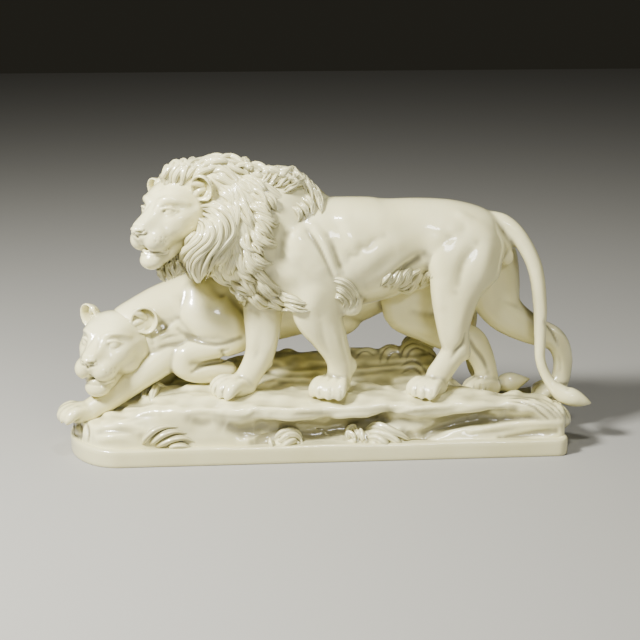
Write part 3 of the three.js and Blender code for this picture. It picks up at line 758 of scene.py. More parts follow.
LIONESS_FACE = {
    "nose": (50.0, -21.4),
    "eye": 24.8,
    "eyeball": (5.4, 5.4, 5.2),
    "brow": 0.6,
    "ridge": 0.45,
    "frown": 0.3,
    "crown": 3.0,
    "pad": (33.0, 7.8, -33.4),
    "pad_size": (14.0, 9.6, 9.9),
    "jowls": [(-1, 17.5, -22, 17, 11.5, 16), (8, 15, -32, 16, 10.5, 11), (22, 9, -30, 15, 9, 9.5)],
    "chin": (32.8, -49.4),
    "chin_size": (9.2, 10.8, 7.6),
    "mouth": [(43.8, 0.6, -39.4), (41.4, 5, -41.0), (37.6, 10, -43.2), (33.2, 14, -45.0), (29, 16, -46.4)],
    "beard": [],
    "ears": {
        1: {"at": (1.5, 26.0, 0.4), "outward": 0.45, "lean": 0.0, "spread": 0.3, "radius": 11.2,
            "tall": 1.06},
        -1: {"at": (0.0, -24.0, -1.5), "outward": 0.35, "lean": 0.05, "spread": 0.45, "radius": 9.6,
             "tall": 1.15},
    },
}

# Middle line of the mane from the face back to the withers: x, y, z, half-width, half-height, turn
MANE = [
    (-99, -20, 190, 29, 40, math.radians(40)),
    (-80, -18, 186, 36, 45, math.radians(28)),
    (-54, -17, 175, 37, 54, math.radians(14)),
    (-24, -15, 171, 31, 55, LION_YAW),
    (8, -13, 163, 20, 42, LION_YAW),
]


def mane_point(angle, share, lift=0.0):
    """Point on the mane, lift mm out from its rings.

    Angle 0 is the top and a quarter turn the near side, and share runs from the face to the withers.
    """
    stations = curve(MANE, 101)
    at = np.clip(np.asarray(share, float), 0, 1) * 100
    i = np.minimum(at.astype(int), 99)
    s = stations[i] + (stations[i + 1] - stations[i]) * (at - i)[..., None]
    across = (s[..., 3] + lift) * np.sin(angle)
    up = (s[..., 4] + lift) * np.cos(angle)
    return s[..., :3] + np.stack([across * np.sin(s[..., 5]), -across * np.cos(s[..., 5]), up], -1)


def mane_mass():
    """The mass under the locks: the mane's rings, drawn in by 1 mm and closed with flat ends."""
    share, angle = np.meshgrid(np.linspace(0, 1, 40), np.linspace(0, 2 * math.pi, 48, endpoint=False),
                               indexing="ij")
    rings = mane_point(angle, share, lift=-1.0)
    return shell(rings, rings[0].mean(axis=0), rings[-1].mean(axis=0))


def hair_masses():
    """Masses under the locks: the mane's rings, the crown over the skull and the ruff beside each cheek."""
    crown = sweep([(-111, -25, 217, 8, 9), (-104, -23, 219, 13, 13), (-93, -21, 217, 17, 15.5),
                   (-86, -20, 216, 19, 16), (-78, -19.5, 216, 20, 19), (-66, -18, 214, 21, 19.5),
                   (-50, -17, 210, 22, 19.5), (-32, -16, 205, 21, 21), (-16, -15, 197, 17, 20)], around=40)
    ruff = sweep(on_sheet([(214, 204, -38, 5, 6), (221, 214, -42, 7, 8), (219, 228, -45, 9, 11),
                           (210, 242, -46, 9, 13), (203, 256, -46, 8, 12), (199, 270, -45, 6, 8),
                           (198, 281, -45, 2.5, 3)]), side=FRONTWARD, around=32)
    far_line = np.array([(3, -18, 2, 5, 5), (-2, -23, -10, 7, 7), (-4, -25, -24, 8, 8), (-2, -23, -40, 8, 8),
                         (3, -16, -54, 6, 6), (6, -8, -62, 3, 3)], float)
    place = head_place(LION_HEAD, LION_AXES)
    far_ruff = sweep(np.column_stack([place(far_line[:, :3]), far_line[:, 3:]]), side=LION_AXES[:, 1],
                     around=32)
    return [mane_mass(), crown, ruff, far_ruff]


def lion_shells():
    """Trunk, legs, tail and paws of the lion, and the masses under his hair."""
    trunk = sweep([(-45, -20, 152, 26, 34), (-15, -17, 157, 34, 45), (15, -13.5, 158, 36, 44),
                   (50, -9, 160, 33, 41), (80, -5, 166, 28, 33), (110, -1, 165, 29, 30.5),
                   (135, 2, 162, 24, 25), (146, 3, 161, 14, 15)], around=72, along=90)
    near_foreleg = sweep([(-10, -25, 172, 13, 28), (-2, -33, 148, 15, 25), (-2, -35.5, 128, 14, 22.5),
                          (0, -35, 113, 12.8, 19.5), (8.5, -32, 95, 11.5, 14.4), (16, -29, 78, 9.5, 10.8),
                          (18, -27, 67, 9.5, 10.4), (17, -26, 57, 9, 10)])
    far_foreleg = sweep([(-38, -6, 150, 15, 24), (-40, -12, 128, 14, 19), (-42, -15, 111, 13, 16),
                         (-43, -18, 92, 11.5, 13.5), (-45, -18, 79, 10, 12), (-50, -19, 68, 9.5, 10.5),
                         (-56, -20, 58, 9, 10)])
    near_hind_leg = sweep([(126, -12, 168, 16, 28), (116, -22, 150, 15, 31), (109, -27, 130, 13.5, 22),
                           (107, -29, 112, 12, 16.5), (107, -30, 95, 10, 12.5), (109, -29, 83, 8.5, 11),
                           (103, -28, 71, 8.5, 10), (96, -27, 60, 8.5, 10)])
    far_hind_leg = sweep([(128, 14, 165, 15, 26), (140, 16, 145, 14, 26), (146, 16, 122, 13, 24),
                          (156, 15, 100, 11.5, 17), (178, 14, 85, 9.5, 12.5), (198, 15, 76, 8.5, 10),
                          (206, 15, 62, 7.5, 8.5), (206, 15, 46, 7.5, 8), (203, 13, 38, 7.5, 8)])
    tail = sweep([(136, 2, 178, 9, 9), (150, -1, 176, 8, 8), (163, -5, 165, 7, 6.8), (175, -8, 142, 6.3, 6.3),
                  (180, -9, 113, 5.8, 5.8), (180.5, -12, 86, 5, 5), (181, -15, 66, 4.4, 4.4),
                  (188, -18, 50, 4.6, 4.6), (197, -22, 41, 6.8, 7), (206, -25, 38, 7.8, 7.4),
                  (214, -27, 35.5, 5, 5), (221, -28, 33.5, 1.2, 1.2)], side=FRONTWARD, along=110)
    elbow = ball([25, -35, 121], [10, 7.5, 9.5], heading(0))
    near_wrist = ball([27, -26, 69], [4.5, 5, 7])
    far_wrist = ball([-39, -15, 71], [5, 5, 6])
    hock = ball([117, -27, 79], [5, 5.5, 7.5])
    flank = ball([84, -5, 136], [13, 8, 10], heading(0))
    haunch = ball([153, -3, 150], [6, 6, 7.5])
    return [
        trunk, *hair_masses(), near_foreleg, far_foreleg, near_hind_leg, far_hind_leg, tail,
        elbow, near_wrist, far_wrist, hock, flank, haunch,
        *paw_shells(14, -26, math.radians(62), 1.1),
        *paw_shells(-61, -21, math.radians(30), 1.1),
        *paw_shells(92, -28, math.radians(45), 1.03),
        *paw_shells(201, 12, math.radians(8), 0.95),
    ]


def lioness_shells():
    """Trunk, neck, chest, legs, tail and paws of the lioness."""
    trunk = sweep([(-142, 12, 97, 19, 18), (-124, 19, 104, 20, 21.5), (-104, 24, 107, 22, 26),
                   (-80, 26, 108, 24.5, 29), (-45, 28, 104, 24, 29), (-5, 30, 110, 24, 28),
                   (30, 31, 117, 24, 29), (62, 31, 128, 22, 26), (95, 31, 132, 23, 25),
                   (122, 30, 128, 17, 18)], around=64, along=110)
    neck = sweep([(-96, 25, 108, 20, 24), (-118, 21, 106, 19, 22), (-146, 11, 96, 20, 19)], around=48)
    chest = sweep([(-88, 20, 92, 20, 24), (-130, 7, 86, 15, 16)], around=40)
    belly = ball([16, 30, 98], [27, 20, 21], heading(0))
    shoulder = sweep([(-92, 14, 120, 12, 16), (-86, 6, 106, 13, 22), (-70, 4, 94, 12, 18),
                      (-58, 5, 86, 10, 10)], around=40)
    near_foreleg = sweep([(-54, 5, 86, 10, 10), (-70, 1, 82, 10, 10.5), (-90, -2, 78, 9.5, 9.5),
                          (-104, -3, 74, 9, 10), (-106, -3, 66, 9.5, 10), (-95, -1, 60, 9.5, 10),
                          (-80, 3, 59, 10, 10.5), (-70, 5, 58, 9, 8)], side=FRONTWARD, along=70)
    far_foreleg = sweep([(-90, 30, 100, 14, 20), (-102, 14, 86, 14, 17), (-120, 2, 71, 12, 13),
                         (-141, -7, 58, 10.5, 11), (-163, -13, 44, 9.5, 10), (-178, -17, 36, 9.5, 9)])
    near_hind_leg = sweep([(104, 14, 138, 12, 22), (86, 10, 120, 14, 26), (74, 9, 106, 13, 20),
                           (92, 9, 92, 11, 15), (112, 10, 81, 9.5, 13), (127, 11, 78, 8.5, 12.5),
                           (135, 12, 68, 8, 11.5), (141, 12, 54, 7.5, 10), (144, 11, 40, 7.5, 9)])
    far_hind_leg = sweep([(100, 44, 130, 12, 22), (84, 45.5, 112, 12.6, 22), (76, 46.5, 96, 11, 17),
                          (88, 47, 84, 9, 12), (98, 47, 74, 7.5, 9), (96, 46, 62, 7, 8)])
    tail = sweep([(122, 30, 134, 6, 6), (132, 32, 120, 4.6, 4.6), (134, 34, 90, 4, 4),
                  (131, 34, 62, 3.6, 3.6), (136, 30, 42, 3.4, 3.4), (150, 22, 35, 3.8, 3.8),
                  (159, 19, 38, 8, 7.4), (167, 18, 39, 8.4, 7.6), (180, 18, 41, 1.2, 1.2)],
                 side=FRONTWARD, along=80)
    return [
        trunk, neck, chest, belly, shoulder, near_foreleg, far_foreleg, near_hind_leg, far_hind_leg, tail,
        *paw_shells(-184, -18, math.radians(20), 1.0),
        *paw_shells(143, 8, math.radians(24), 0.95, rise=3.0),
        *paw_shells(94, 44, math.radians(5), 0.85),
    ]


# Hair

def lock(path, outward, width, thick, strands):
    """Lock of hair: a lens-shaped profile carried along a path, with its crease tones.

    The half-width swells from the root and tapers to the tip. On the outer side |cos| grooves run along the
    lock, one between each two strands. The grooves, the edges, the inner side and the root are darkened:
    glaze pooling and painted shade.
    """
    groove = 1.1
    rows = len(path)
    around = 2 * max(8, 4 * strands)
    along = np.linspace(0, 1, rows)
    tangent = unit(np.gradient(path, axis=0))
    across = unit(np.cross(tangent, outward))
    out = np.cross(across, tangent)
    taper = np.sqrt(np.clip(1 - ease(0.35, 1.0, along) ** 1.3, 0, 1))
    half = width * (0.45 + 0.55 * ease(0, 0.3, along)) * taper
    angle = np.linspace(0, 2 * math.pi, around, endpoint=False)
    side = np.cos(angle)
    ridge = np.abs(np.cos(math.pi * strands * side / 2 + 0.6 * np.sin(3 * along)[:, None])) ** 0.8
    swell = 0.15 + 0.85 * np.sin(math.pi * np.clip(along * 0.97 + 0.03, 0, 1) ** 0.85)
    high = thick * swell * (half / width + 0.15)
    outer = np.sin(angle) * (high[:, None] - groove * (1 - ridge) * np.minimum(1, half / width)[:, None])
    crown = np.where(np.sin(angle) > 0, outer, np.sin(angle) * 0.8 * high[:, None])
    sideways = across[:, None] * (half[:, None] * side)[..., None]
    rings = path[:, None] + sideways + out[:, None] * crown[..., None]
    # Darker in the grooves, on the inner side, at the edges and at the root: glaze pooling and painted shade
    tones = np.where(np.sin(angle) > 0, 0.8 * (1 - ridge), 0.8) * np.ones((rows, 1))
    tones = np.maximum(tones, 0.6 * ease(0.6, 0.98, np.abs(side)) + 0.35 * (np.abs(side) > 0.97))
    tones = np.maximum(tones, 0.7 * (1 - ease(0.0, 0.22, along))[:, None])
    made = shell(rings[1:-1], path[0], path[-1] + tangent[-1] * 0.4)
    return made, np.concatenate([tones[1:-1].ravel(), [0.5, 0.3]])


LOCK_POINTS = 9  # points laid on the skin for one lock
LOCK_EVEN = np.linspace(0, 1, LOCK_POINTS)
LOCK_SPACING, LOCK_WIDTH = 1.25, 0.9126  # of a bundle's locks, times its half-width and over their number


def rising(lift):
    """How high a lock lies at its points: its root inside the skin, its belly at lift and its tip lower."""
    return lift * np.interp(LOCK_EVEN, [0, 0.25, 0.6, 1], [-1.2, 0.4, 1.0, 0.4])


def bundle(tree, drawn, width, parts, lift, thick, strands):
    """Locks laid side by side along one drawn stroke, each a little shorter or longer than the next.

    They close up towards the tip, and the middle ones lie on the outer ones.
    """
    locks = []
    steps = 40
    line = curve(drawn, steps)
    way = unit(np.gradient(line, axis=0))
    beside = np.stack([-way[:, 1], way[:, 0]], 1)
    closing = 1 - 0.55 * ease(0.55, 1.0, LOCK_EVEN)
    for part in range(parts):
        offset = (part - (parts - 1) / 2) / parts * LOCK_SPACING * width
        start, stop = rng.uniform(0, 0.12), rng.uniform(0.86, 1.0) if parts > 1 else 1.0
        pick = np.linspace(start, stop, LOCK_POINTS) * (steps - 1)
        sway = rng.uniform(-0.25, 0.25) * width * np.sin(2.5 * math.pi * LOCK_EVEN + rng.uniform(0, 6))
        middle, sideways = [np.stack([np.interp(pick, np.arange(steps), values[:, k]) for k in (0, 1)], 1)
                            for values in (line, beside)]
        squares = middle + sideways * (offset * closing + sway)[:, None]
        placed = [lay(tree, square) for square in squares]
        points = np.array([point for point, _ in placed])
        normals = np.array([normal for _, normal in placed])
        normals = unit(normals + normals.mean(axis=0) * 0.6)
        rise = rising(lift) + rng.uniform(-0.5, 0.7)
        middling = 1 - (2 * part / max(1, parts - 1) - 1) ** 2
        points = points + normals * (rise + 0.35 * lift * middling * closing)[:, None]
        locks.append(lock(curve(points, 30), curve(normals, 30), LOCK_WIDTH * width / parts, thick, strands))
    return locks


def bundles(tree, drawings, lift, thick, strands):
    """All the locks of many drawn bundles."""
    return [made for drawn, width, parts in drawings
            for made in bundle(tree, drawn, width, parts, lift, thick, strands)]


def combed(tree, path, width):
    """Three locks side by side along a path in space.

    Each point of the path is moved sideways and then to the nearest skin.
    """
    parts, lift, thick, strands = 3, 1.0, 3.2, 3
    locks = []
    line = curve(path, LOCK_POINTS)
    way = unit(np.gradient(line, axis=0))
    for part in range(parts):
        offset = (part - (parts - 1) / 2) / parts * 1.7 * width + rng.uniform(-0.4, 0.4)
        points, normals = [], []
        for at, along in zip(line, way):
            _, normal, _, _ = tree.find_nearest(Vector(at))
            across = np.cross(along, np.array(normal))
            hit, normal, _, _ = tree.find_nearest(Vector(at + across * offset))
            normals.append(np.array(normal))
            points.append(np.array(hit))
        normals = unit(np.array(normals))
        rise = rising(lift) + rng.uniform(-0.4, 0.6)
        points = np.array(points) + normals * rise[:, None]
        locks.append(lock(curve(points, 24), curve(normals, 24), width * 0.95 / parts * 1.3, thick, strands))
    return locks


# Strokes of the near side, in squares of the sheet: the points, the bundle's half-width and its locks.
# The ruff and the mane's side come first, and then the crown, the breast and the throat.
RUFF_LOCKS = [
    # Ruff under the ear
    ([(198, 205), (209, 205), (220, 211), (228, 221), (229, 233), (222, 245), (214, 257), (208, 270),
      (204, 283)], 8, 3),
    ([(197, 210), (207, 210), (217, 217), (222, 227), (220, 239), (211, 250), (204, 262), (201, 273),
      (201, 284)], 7, 3),
    ([(194, 214), (203, 215), (211, 223), (213, 233), (207, 243), (198, 253), (193, 264), (194, 275),
      (199, 283)], 8, 3),
    ([(191, 220), (199, 221), (204, 229), (203, 238), (195, 247), (188, 257), (186, 267), (190, 277),
      (195, 283)], 7, 3),
    ([(190, 229), (195, 233), (194, 241), (188, 249), (183, 258), (183, 267), (187, 275)], 5, 2),
    ([(188, 237), (189, 243), (185, 250), (181, 258), (181, 265)], 4, 2),
    ([(212, 202), (222, 205), (230, 213), (233, 225), (231, 237), (224, 248), (217, 259), (211, 271),
      (207, 282)], 7, 3),
    # Behind the ruff
    ([(222, 194), (231, 203), (236, 214), (236, 226), (238, 237), (243, 245)], 8, 3),
    ([(230, 192), (240, 203), (247, 214), (253, 226), (258, 237)], 8, 3),
    ([(230, 232), (228, 246), (223, 258), (221, 268), (223, 279)], 8, 3),
    ([(238, 240), (235, 253), (232, 264), (233, 273), (237, 280)], 8, 3),
    ([(242, 246), (242, 257), (245, 267), (251, 274), (256, 280)], 7, 3),
    ([(247, 240), (249, 251), (255, 261), (261, 268), (266, 270)], 7, 3),
    ([(240, 226), (244, 238), (249, 247), (257, 253), (265, 256)], 7, 3),
    ([(249, 224), (256, 235), (263, 243), (271, 247)], 6, 3),
    ([(248, 208), (256, 219), (264, 229), (271, 236), (277, 240)], 6, 3),
    ([(244, 196), (254, 205), (263, 213), (270, 220), (275, 224)], 7, 3),
    ([(242, 186), (253, 192), (262, 199), (268, 206), (273, 209)], 7, 3),
    ([(238, 178), (248, 181), (257, 188), (262, 195), (266, 199)], 7, 3),
    # Curls along the mane's edge
    ([(250, 192), (260, 195), (269, 201), (274, 208), (277, 212)], 5, 3),
    ([(252, 202), (261, 206), (268, 213), (271, 221)], 4, 3),
    ([(248, 211), (258, 216), (268, 221), (276, 224), (281, 223)], 5.5, 3),
    ([(252, 222), (259, 229), (266, 234), (270, 240)], 4, 3),
    ([(247, 226), (256, 234), (266, 241), (275, 245), (280, 244)], 5.5, 3),
    ([(249, 238), (256, 245), (262, 252), (264, 259)], 4, 3),
    ([(243, 244), (251, 253), (260, 260), (269, 263), (274, 262)], 5.5, 3),
    ([(244, 254), (250, 263), (256, 271), (257, 278)], 4, 3),
    ([(237, 258), (243, 269), (251, 278), (260, 283)], 5.5, 3),
]

CROWN_LOCKS = [
    # Crown
    ([(164, 186), (166, 175), (172, 166), (180, 161)], 8, 3),
    ([(169, 188), (172, 177), (180, 166), (191, 158), (203, 154)], 9, 3),
    ([(178, 187), (183, 176), (192, 167), (203, 161), (214, 160)], 9, 3),
    ([(189, 180), (196, 172), (207, 167), (218, 167), (229, 172)], 8, 3),
    ([(202, 163), (210, 156), (220, 154), (229, 156), (238, 162)], 9, 3),
    ([(212, 165), (224, 162), (236, 166), (246, 173), (252, 182)], 8, 3),
    ([(209, 174), (219, 175), (230, 180), (240, 189), (246, 199)], 8, 3),
    ([(232, 164), (243, 160), (254, 160), (264, 164), (270, 172)], 8, 3),
    ([(243, 169), (256, 170), (264, 176), (269, 185)], 8, 3),
    ([(254, 165), (266, 161), (276, 161), (286, 166), (291, 174)], 8, 3),
    ([(270, 164), (283, 166), (292, 171), (300, 179), (304, 188)], 7, 3),
    ([(214, 184), (224, 190), (231, 199), (233, 210), (231, 221)], 7, 3),
    ([(220, 180), (232, 187), (240, 198), (243, 210), (242, 221)], 8, 3),
    ([(232, 177), (245, 184), (254, 194), (259, 206)], 8, 3),
    ([(284, 170), (294, 175), (303, 183), (311, 192)], 6, 3),
    # Breast and lower fringe
    ([(214, 262), (218, 272), (226, 280), (236, 285)], 6, 3),
    ([(228, 280), (236, 286), (246, 291), (254, 298)], 7, 3),
    ([(238, 272), (247, 281), (253, 291), (252, 302)], 6, 3),
    ([(254, 278), (263, 285), (271, 293), (281, 297)], 7, 3),
    ([(248, 262), (259, 273), (272, 284), (287, 292)], 6, 3),
    ([(246, 290), (256, 298), (268, 304), (280, 306)], 7, 3),
    ([(262, 294), (274, 300), (286, 306), (298, 309)], 6.5, 3),
    ([(232, 288), (237, 297), (242, 304), (248, 307)], 6, 3),
    ([(276, 290), (287, 297), (298, 302), (309, 303)], 6, 3),
    ([(280, 299), (291, 305), (302, 309), (312, 310)], 5, 3),
    # Throat and chin
    ([(160, 264), (162, 270), (164, 276), (166, 283)], 5, 3),
    ([(168, 258), (170, 266), (172, 274), (173, 279)], 5, 3),
    ([(176, 252), (178, 262), (180, 270), (184, 276)], 5, 3),
]

# Short fine hair of the near side: the withers round the bare shoulder blade, the elbow and the belly
SHORT_LOCKS = [
    ([(276, 163), (288, 168), (296, 175), (299, 185)], 5, 3),
    ([(286, 166), (297, 174), (304, 185), (306, 197)], 5, 3),
    ([(294, 172), (304, 181), (311, 193), (313, 205)], 5, 3),
    ([(302, 179), (312, 190), (318, 202), (319, 214)], 5, 3),
    ([(310, 188), (317, 198), (321, 208), (321, 216)], 4, 3),
    ([(300, 192), (308, 202), (312, 211), (312, 219)], 4, 3),
    ([(296, 200), (303, 208), (306, 215), (305, 222)], 3.5, 3),
    ([(291, 204), (297, 211), (299, 217), (297, 223)], 3, 2),
    ([(272, 169), (268, 176), (262, 182), (258, 189)], 4.5, 3),
    ([(282, 171), (277, 178), (271, 183), (265, 187)], 4.5, 3),
    ([(291, 174), (286, 181), (280, 185), (273, 188)], 4.5, 3),
    ([(298, 180), (294, 186), (288, 190), (281, 192)], 4, 3),
    ([(330, 284), (338, 281), (348, 285), (355, 293), (357, 303), (352, 311)], 5.5, 3),
    ([(331, 290), (339, 288), (347, 293), (351, 302), (347, 311)], 5, 3),
    ([(333, 296), (339, 296), (344, 302), (343, 311)], 4, 3),
    ([(434, 273), (426, 278), (420, 285), (411, 290)], 6.5, 3),
    ([(427, 268), (417, 274), (411, 282), (402, 291)], 7, 3),
    ([(417, 267), (407, 274), (402, 282), (393, 291)], 7, 3),
    ([(407, 268), (398, 275), (393, 282), (386, 289)], 7, 3),
    ([(398, 271), (389, 277), (385, 283), (379, 288)], 6, 3),
    ([(421, 275), (413, 283), (404, 289), (396, 289)], 5, 3),
]

# Bundles of the far cheek, in the lion's head frame, with their half-width
FAR_RUFF = [
    ([(8, -24, -4), (6, -29, -16), (6, -28, -32), (9, -21, -48), (13, -13, -60)], 8),
    ([(2, -25, -2), (-1, -31, -15), (-2, -31, -32), (1, -25, -48), (6, -16, -62)], 9),
    ([(-6, -26, 2), (-10, -32, -14), (-11, -32, -32), (-8, -28, -48), (-2, -20, -64)], 9),
    ([(12, -12, -56), (14, -6, -62), (17, -2, -68)], 7),
    ([(6, -8, 16), (-8, -16, 18), (-24, -22, 12), (-42, -26, 0)], 9),
    ([(4, -18, 8), (-10, -24, 6), (-26, -28, -4), (-40, -30, -18)], 9),
    ([(-4, -24, 4), (-16, -30, -6), (-26, -33, -22), (-32, -33, -40)], 9),
    ([(-2, -2, 22), (-16, -8, 26), (-34, -14, 22), (-52, -18, 12)], 9),
    ([(-12, -28, -14), (-20, -34, -30), (-22, -33, -48), (-18, -28, -64)], 9),
    ([(-20, -32, -24), (-30, -36, -40), (-34, -34, -58), (-32, -28, -72)], 9),
    ([(-30, -2, 30), (-46, -6, 30), (-64, -10, 24), (-84, -14, 14)], 9),
    ([(-20, -12, 24), (-36, -16, 22), (-54, -20, 14), (-72, -24, 2)], 9),
    ([(-36, -20, 14), (-52, -26, 6), (-66, -30, -10), (-76, -30, -26)], 9),
    ([(-26, -28, 2), (-42, -32, -10), (-54, -34, -28), (-60, -32, -48)], 9),
    ([(12, 12, -54), (14, 7, -61), (17, 3, -68)], 7),
]


MANE_RADIUS, MANE_LENGTH = 45.0, 115.0  # by which a fall of so many mm becomes a turn and a share


def fall_locks(tree, hand, count):
    """Locks rooted on the mane by angle and share, which run back at the crown and down at the side.

    The roots are spread by multiples of an uneven fraction. hand is 1 for the near side and -1 for the far.
    """
    locks = []
    steps, width, thick, strands = 8, 5.5, 2.8, 4
    outside, inside = (14.0 if hand > 0 else 34.0), -8.0
    for k in range(count):
        turn = 4 + 150 * ((k * 0.618) % 1)
        angle = hand * math.radians(turn)
        reach = (0.42 if turn < 30 else 0.26) if hand > 0 else 0.66
        share = 0.06 + reach * ((k * 0.381 + 0.1) % 1)
        length = 30 + 14 * ((k * 0.77) % 1)
        sway = rng.uniform(-0.35, 0.35)
        points, normals = [], []
        for i in range(steps + 1):
            outer = mane_point(np.array(angle), np.array(share), outside)
            inner = mane_point(np.array(angle), np.array(share), inside)
            hit, normal, _, _ = tree.ray_cast(Vector(outer), Vector(inner - outer))
            if hit is None:
                hit, normal, _, _ = tree.find_nearest(Vector(inner))
            points.append(np.array(hit) + np.array(normal) * (-1.2 if i == 0 else 0.3))
            normals.append(np.array(normal))
            fall = abs(math.sin(angle)) * (1.1 - 0.35 * share) + sway * math.sin(i / steps * 2 * math.pi)
            angle += hand * length / steps * math.sin(fall) / MANE_RADIUS
            share = min(0.99, share + length / steps * math.cos(fall) / MANE_LENGTH)
        locks.append(lock(curve(points, 24), curve(unit(np.array(normals)), 24), width, thick, strands))
    return locks


# Materials

def glaze():
    """Glossy ivory glaze over porcelain, with faint mottling and ripple.

    The crease attribute darkens it towards olive: glaze pooling in creases, and painted shade.
    """
    material = bpy.data.materials.new("ivory_glaze")
    material.use_nodes = True
    nodes, links = material.node_tree.nodes, material.node_tree.links
    nodes.clear()

    def node(kind, **values):
        made = nodes.new(kind)
        for socket, value in values.items():
            made.inputs[socket.replace("_", " ")].default_value = value
        return made

    out = node("ShaderNodeOutputMaterial")
    body = node("ShaderNodeBsdfPrincipled", Roughness=0.32, IOR=1.5, Coat_Weight=1.0, Coat_Roughness=0.06,
                Coat_IOR=1.52, Subsurface_Weight=0.08, Subsurface_Radius=(0.0025, 0.0019, 0.0011),
                Subsurface_Scale=1.0)
    where = node("ShaderNodeTexCoord")
    mottle = node("ShaderNodeTexNoise", Scale=22.0, Detail=3.0)
    links.new(where.outputs["Object"], mottle.inputs["Vector"])
    tint = node("ShaderNodeValToRGB")
    darker, lighter = tint.color_ramp.elements
    darker.position, darker.color = 0.35, (0.79, 0.735, 0.385, 1)
    lighter.position, lighter.color = 0.68, (0.87, 0.82, 0.465, 1)
    links.new(mottle.outputs["Fac"], tint.inputs["Fac"])
    crease = node("ShaderNodeAttribute")
    crease.attribute_name = "crease"
    amount = node("ShaderNodeMath")
    amount.operation = "MULTIPLY"
    amount.inputs[1].default_value = 0.85
    links.new(crease.outputs["Fac"], amount.inputs[0])
    # Mix towards the dark olive by the crease attribute: glaze pooling and painted shade
    pool_and_shade_mix = node("ShaderNodeMix")
    pool_and_shade_mix.data_type = "RGBA"
    share, open_colour, pool_and_shade_colour = pool_and_shade_mix.inputs[0], pool_and_shade_mix.inputs[6], pool_and_shade_mix.inputs[7]
    # The dark olive of glaze pooling and painted shade
    pool_and_shade_colour.default_value = (0.19, 0.17, 0.085, 1)
    links.new(amount.outputs[0], share)
    links.new(tint.outputs["Color"], open_colour)
    links.new(pool_and_shade_mix.outputs[2], body.inputs["Base Color"])
    ripple = node("ShaderNodeTexNoise", Scale=90.0, Detail=1.0)
    links.new(where.outputs["Object"], ripple.inputs["Vector"])
    bump = node("ShaderNodeBump", Strength=0.06, Distance=0.001)
    links.new(ripple.outputs["Fac"], bump.inputs["Height"])
    links.new(bump.outputs["Normal"], body.inputs["Normal"])
    links.new(bump.outputs["Normal"], body.inputs["Coat Normal"])
    links.new(body.outputs["BSDF"], out.inputs["Surface"])
    return material


GLAZE = glaze()


def piece(name, points, quads, tris=None, tones=None):
    """Finished piece of the glazed group."""
    made = bpy.data.objects.new(name, mesh_of(name, points, quads, tris, tones))
    bpy.context.scene.collection.objects.link(made)
    made.data.materials.append(GLAZE)
    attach(made, "root")
    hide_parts("lion_group")


def skin_piece(name, clay, **darkening):
    """Finished piece of a worked skin, darkened as its tones say: glaze pooling and painted shade."""
    piece(name, clay.points, clay.quads, tones=clay.tones(**darkening))


def lock_piece(name, locks):
    """Finished piece of many locks."""
    points, quads, tris = gather([made for made, _ in locks])
    piece(name, points, quads, tris, np.concatenate([tones for _, tones in locks]))


def head_piece(name, centre, axes, face, rounds):
    """Finished head, and its base forms as shells.

    The base forms are softened by themselves. Then the features are added and the lines carved.
    """
    base, features = head_shells(centre, axes, face)
    head = Clay(features, HEAD_CELL, base=base, rounds=rounds)
    head.soften(3)
    head.carve_in(head_place(centre, axes), face_strokes(face))
    head.soften(1)
    skin_piece(name, head)
    return base


# Strokes carved in the skins, in squares of the sheet: the points, and the width and height in mm

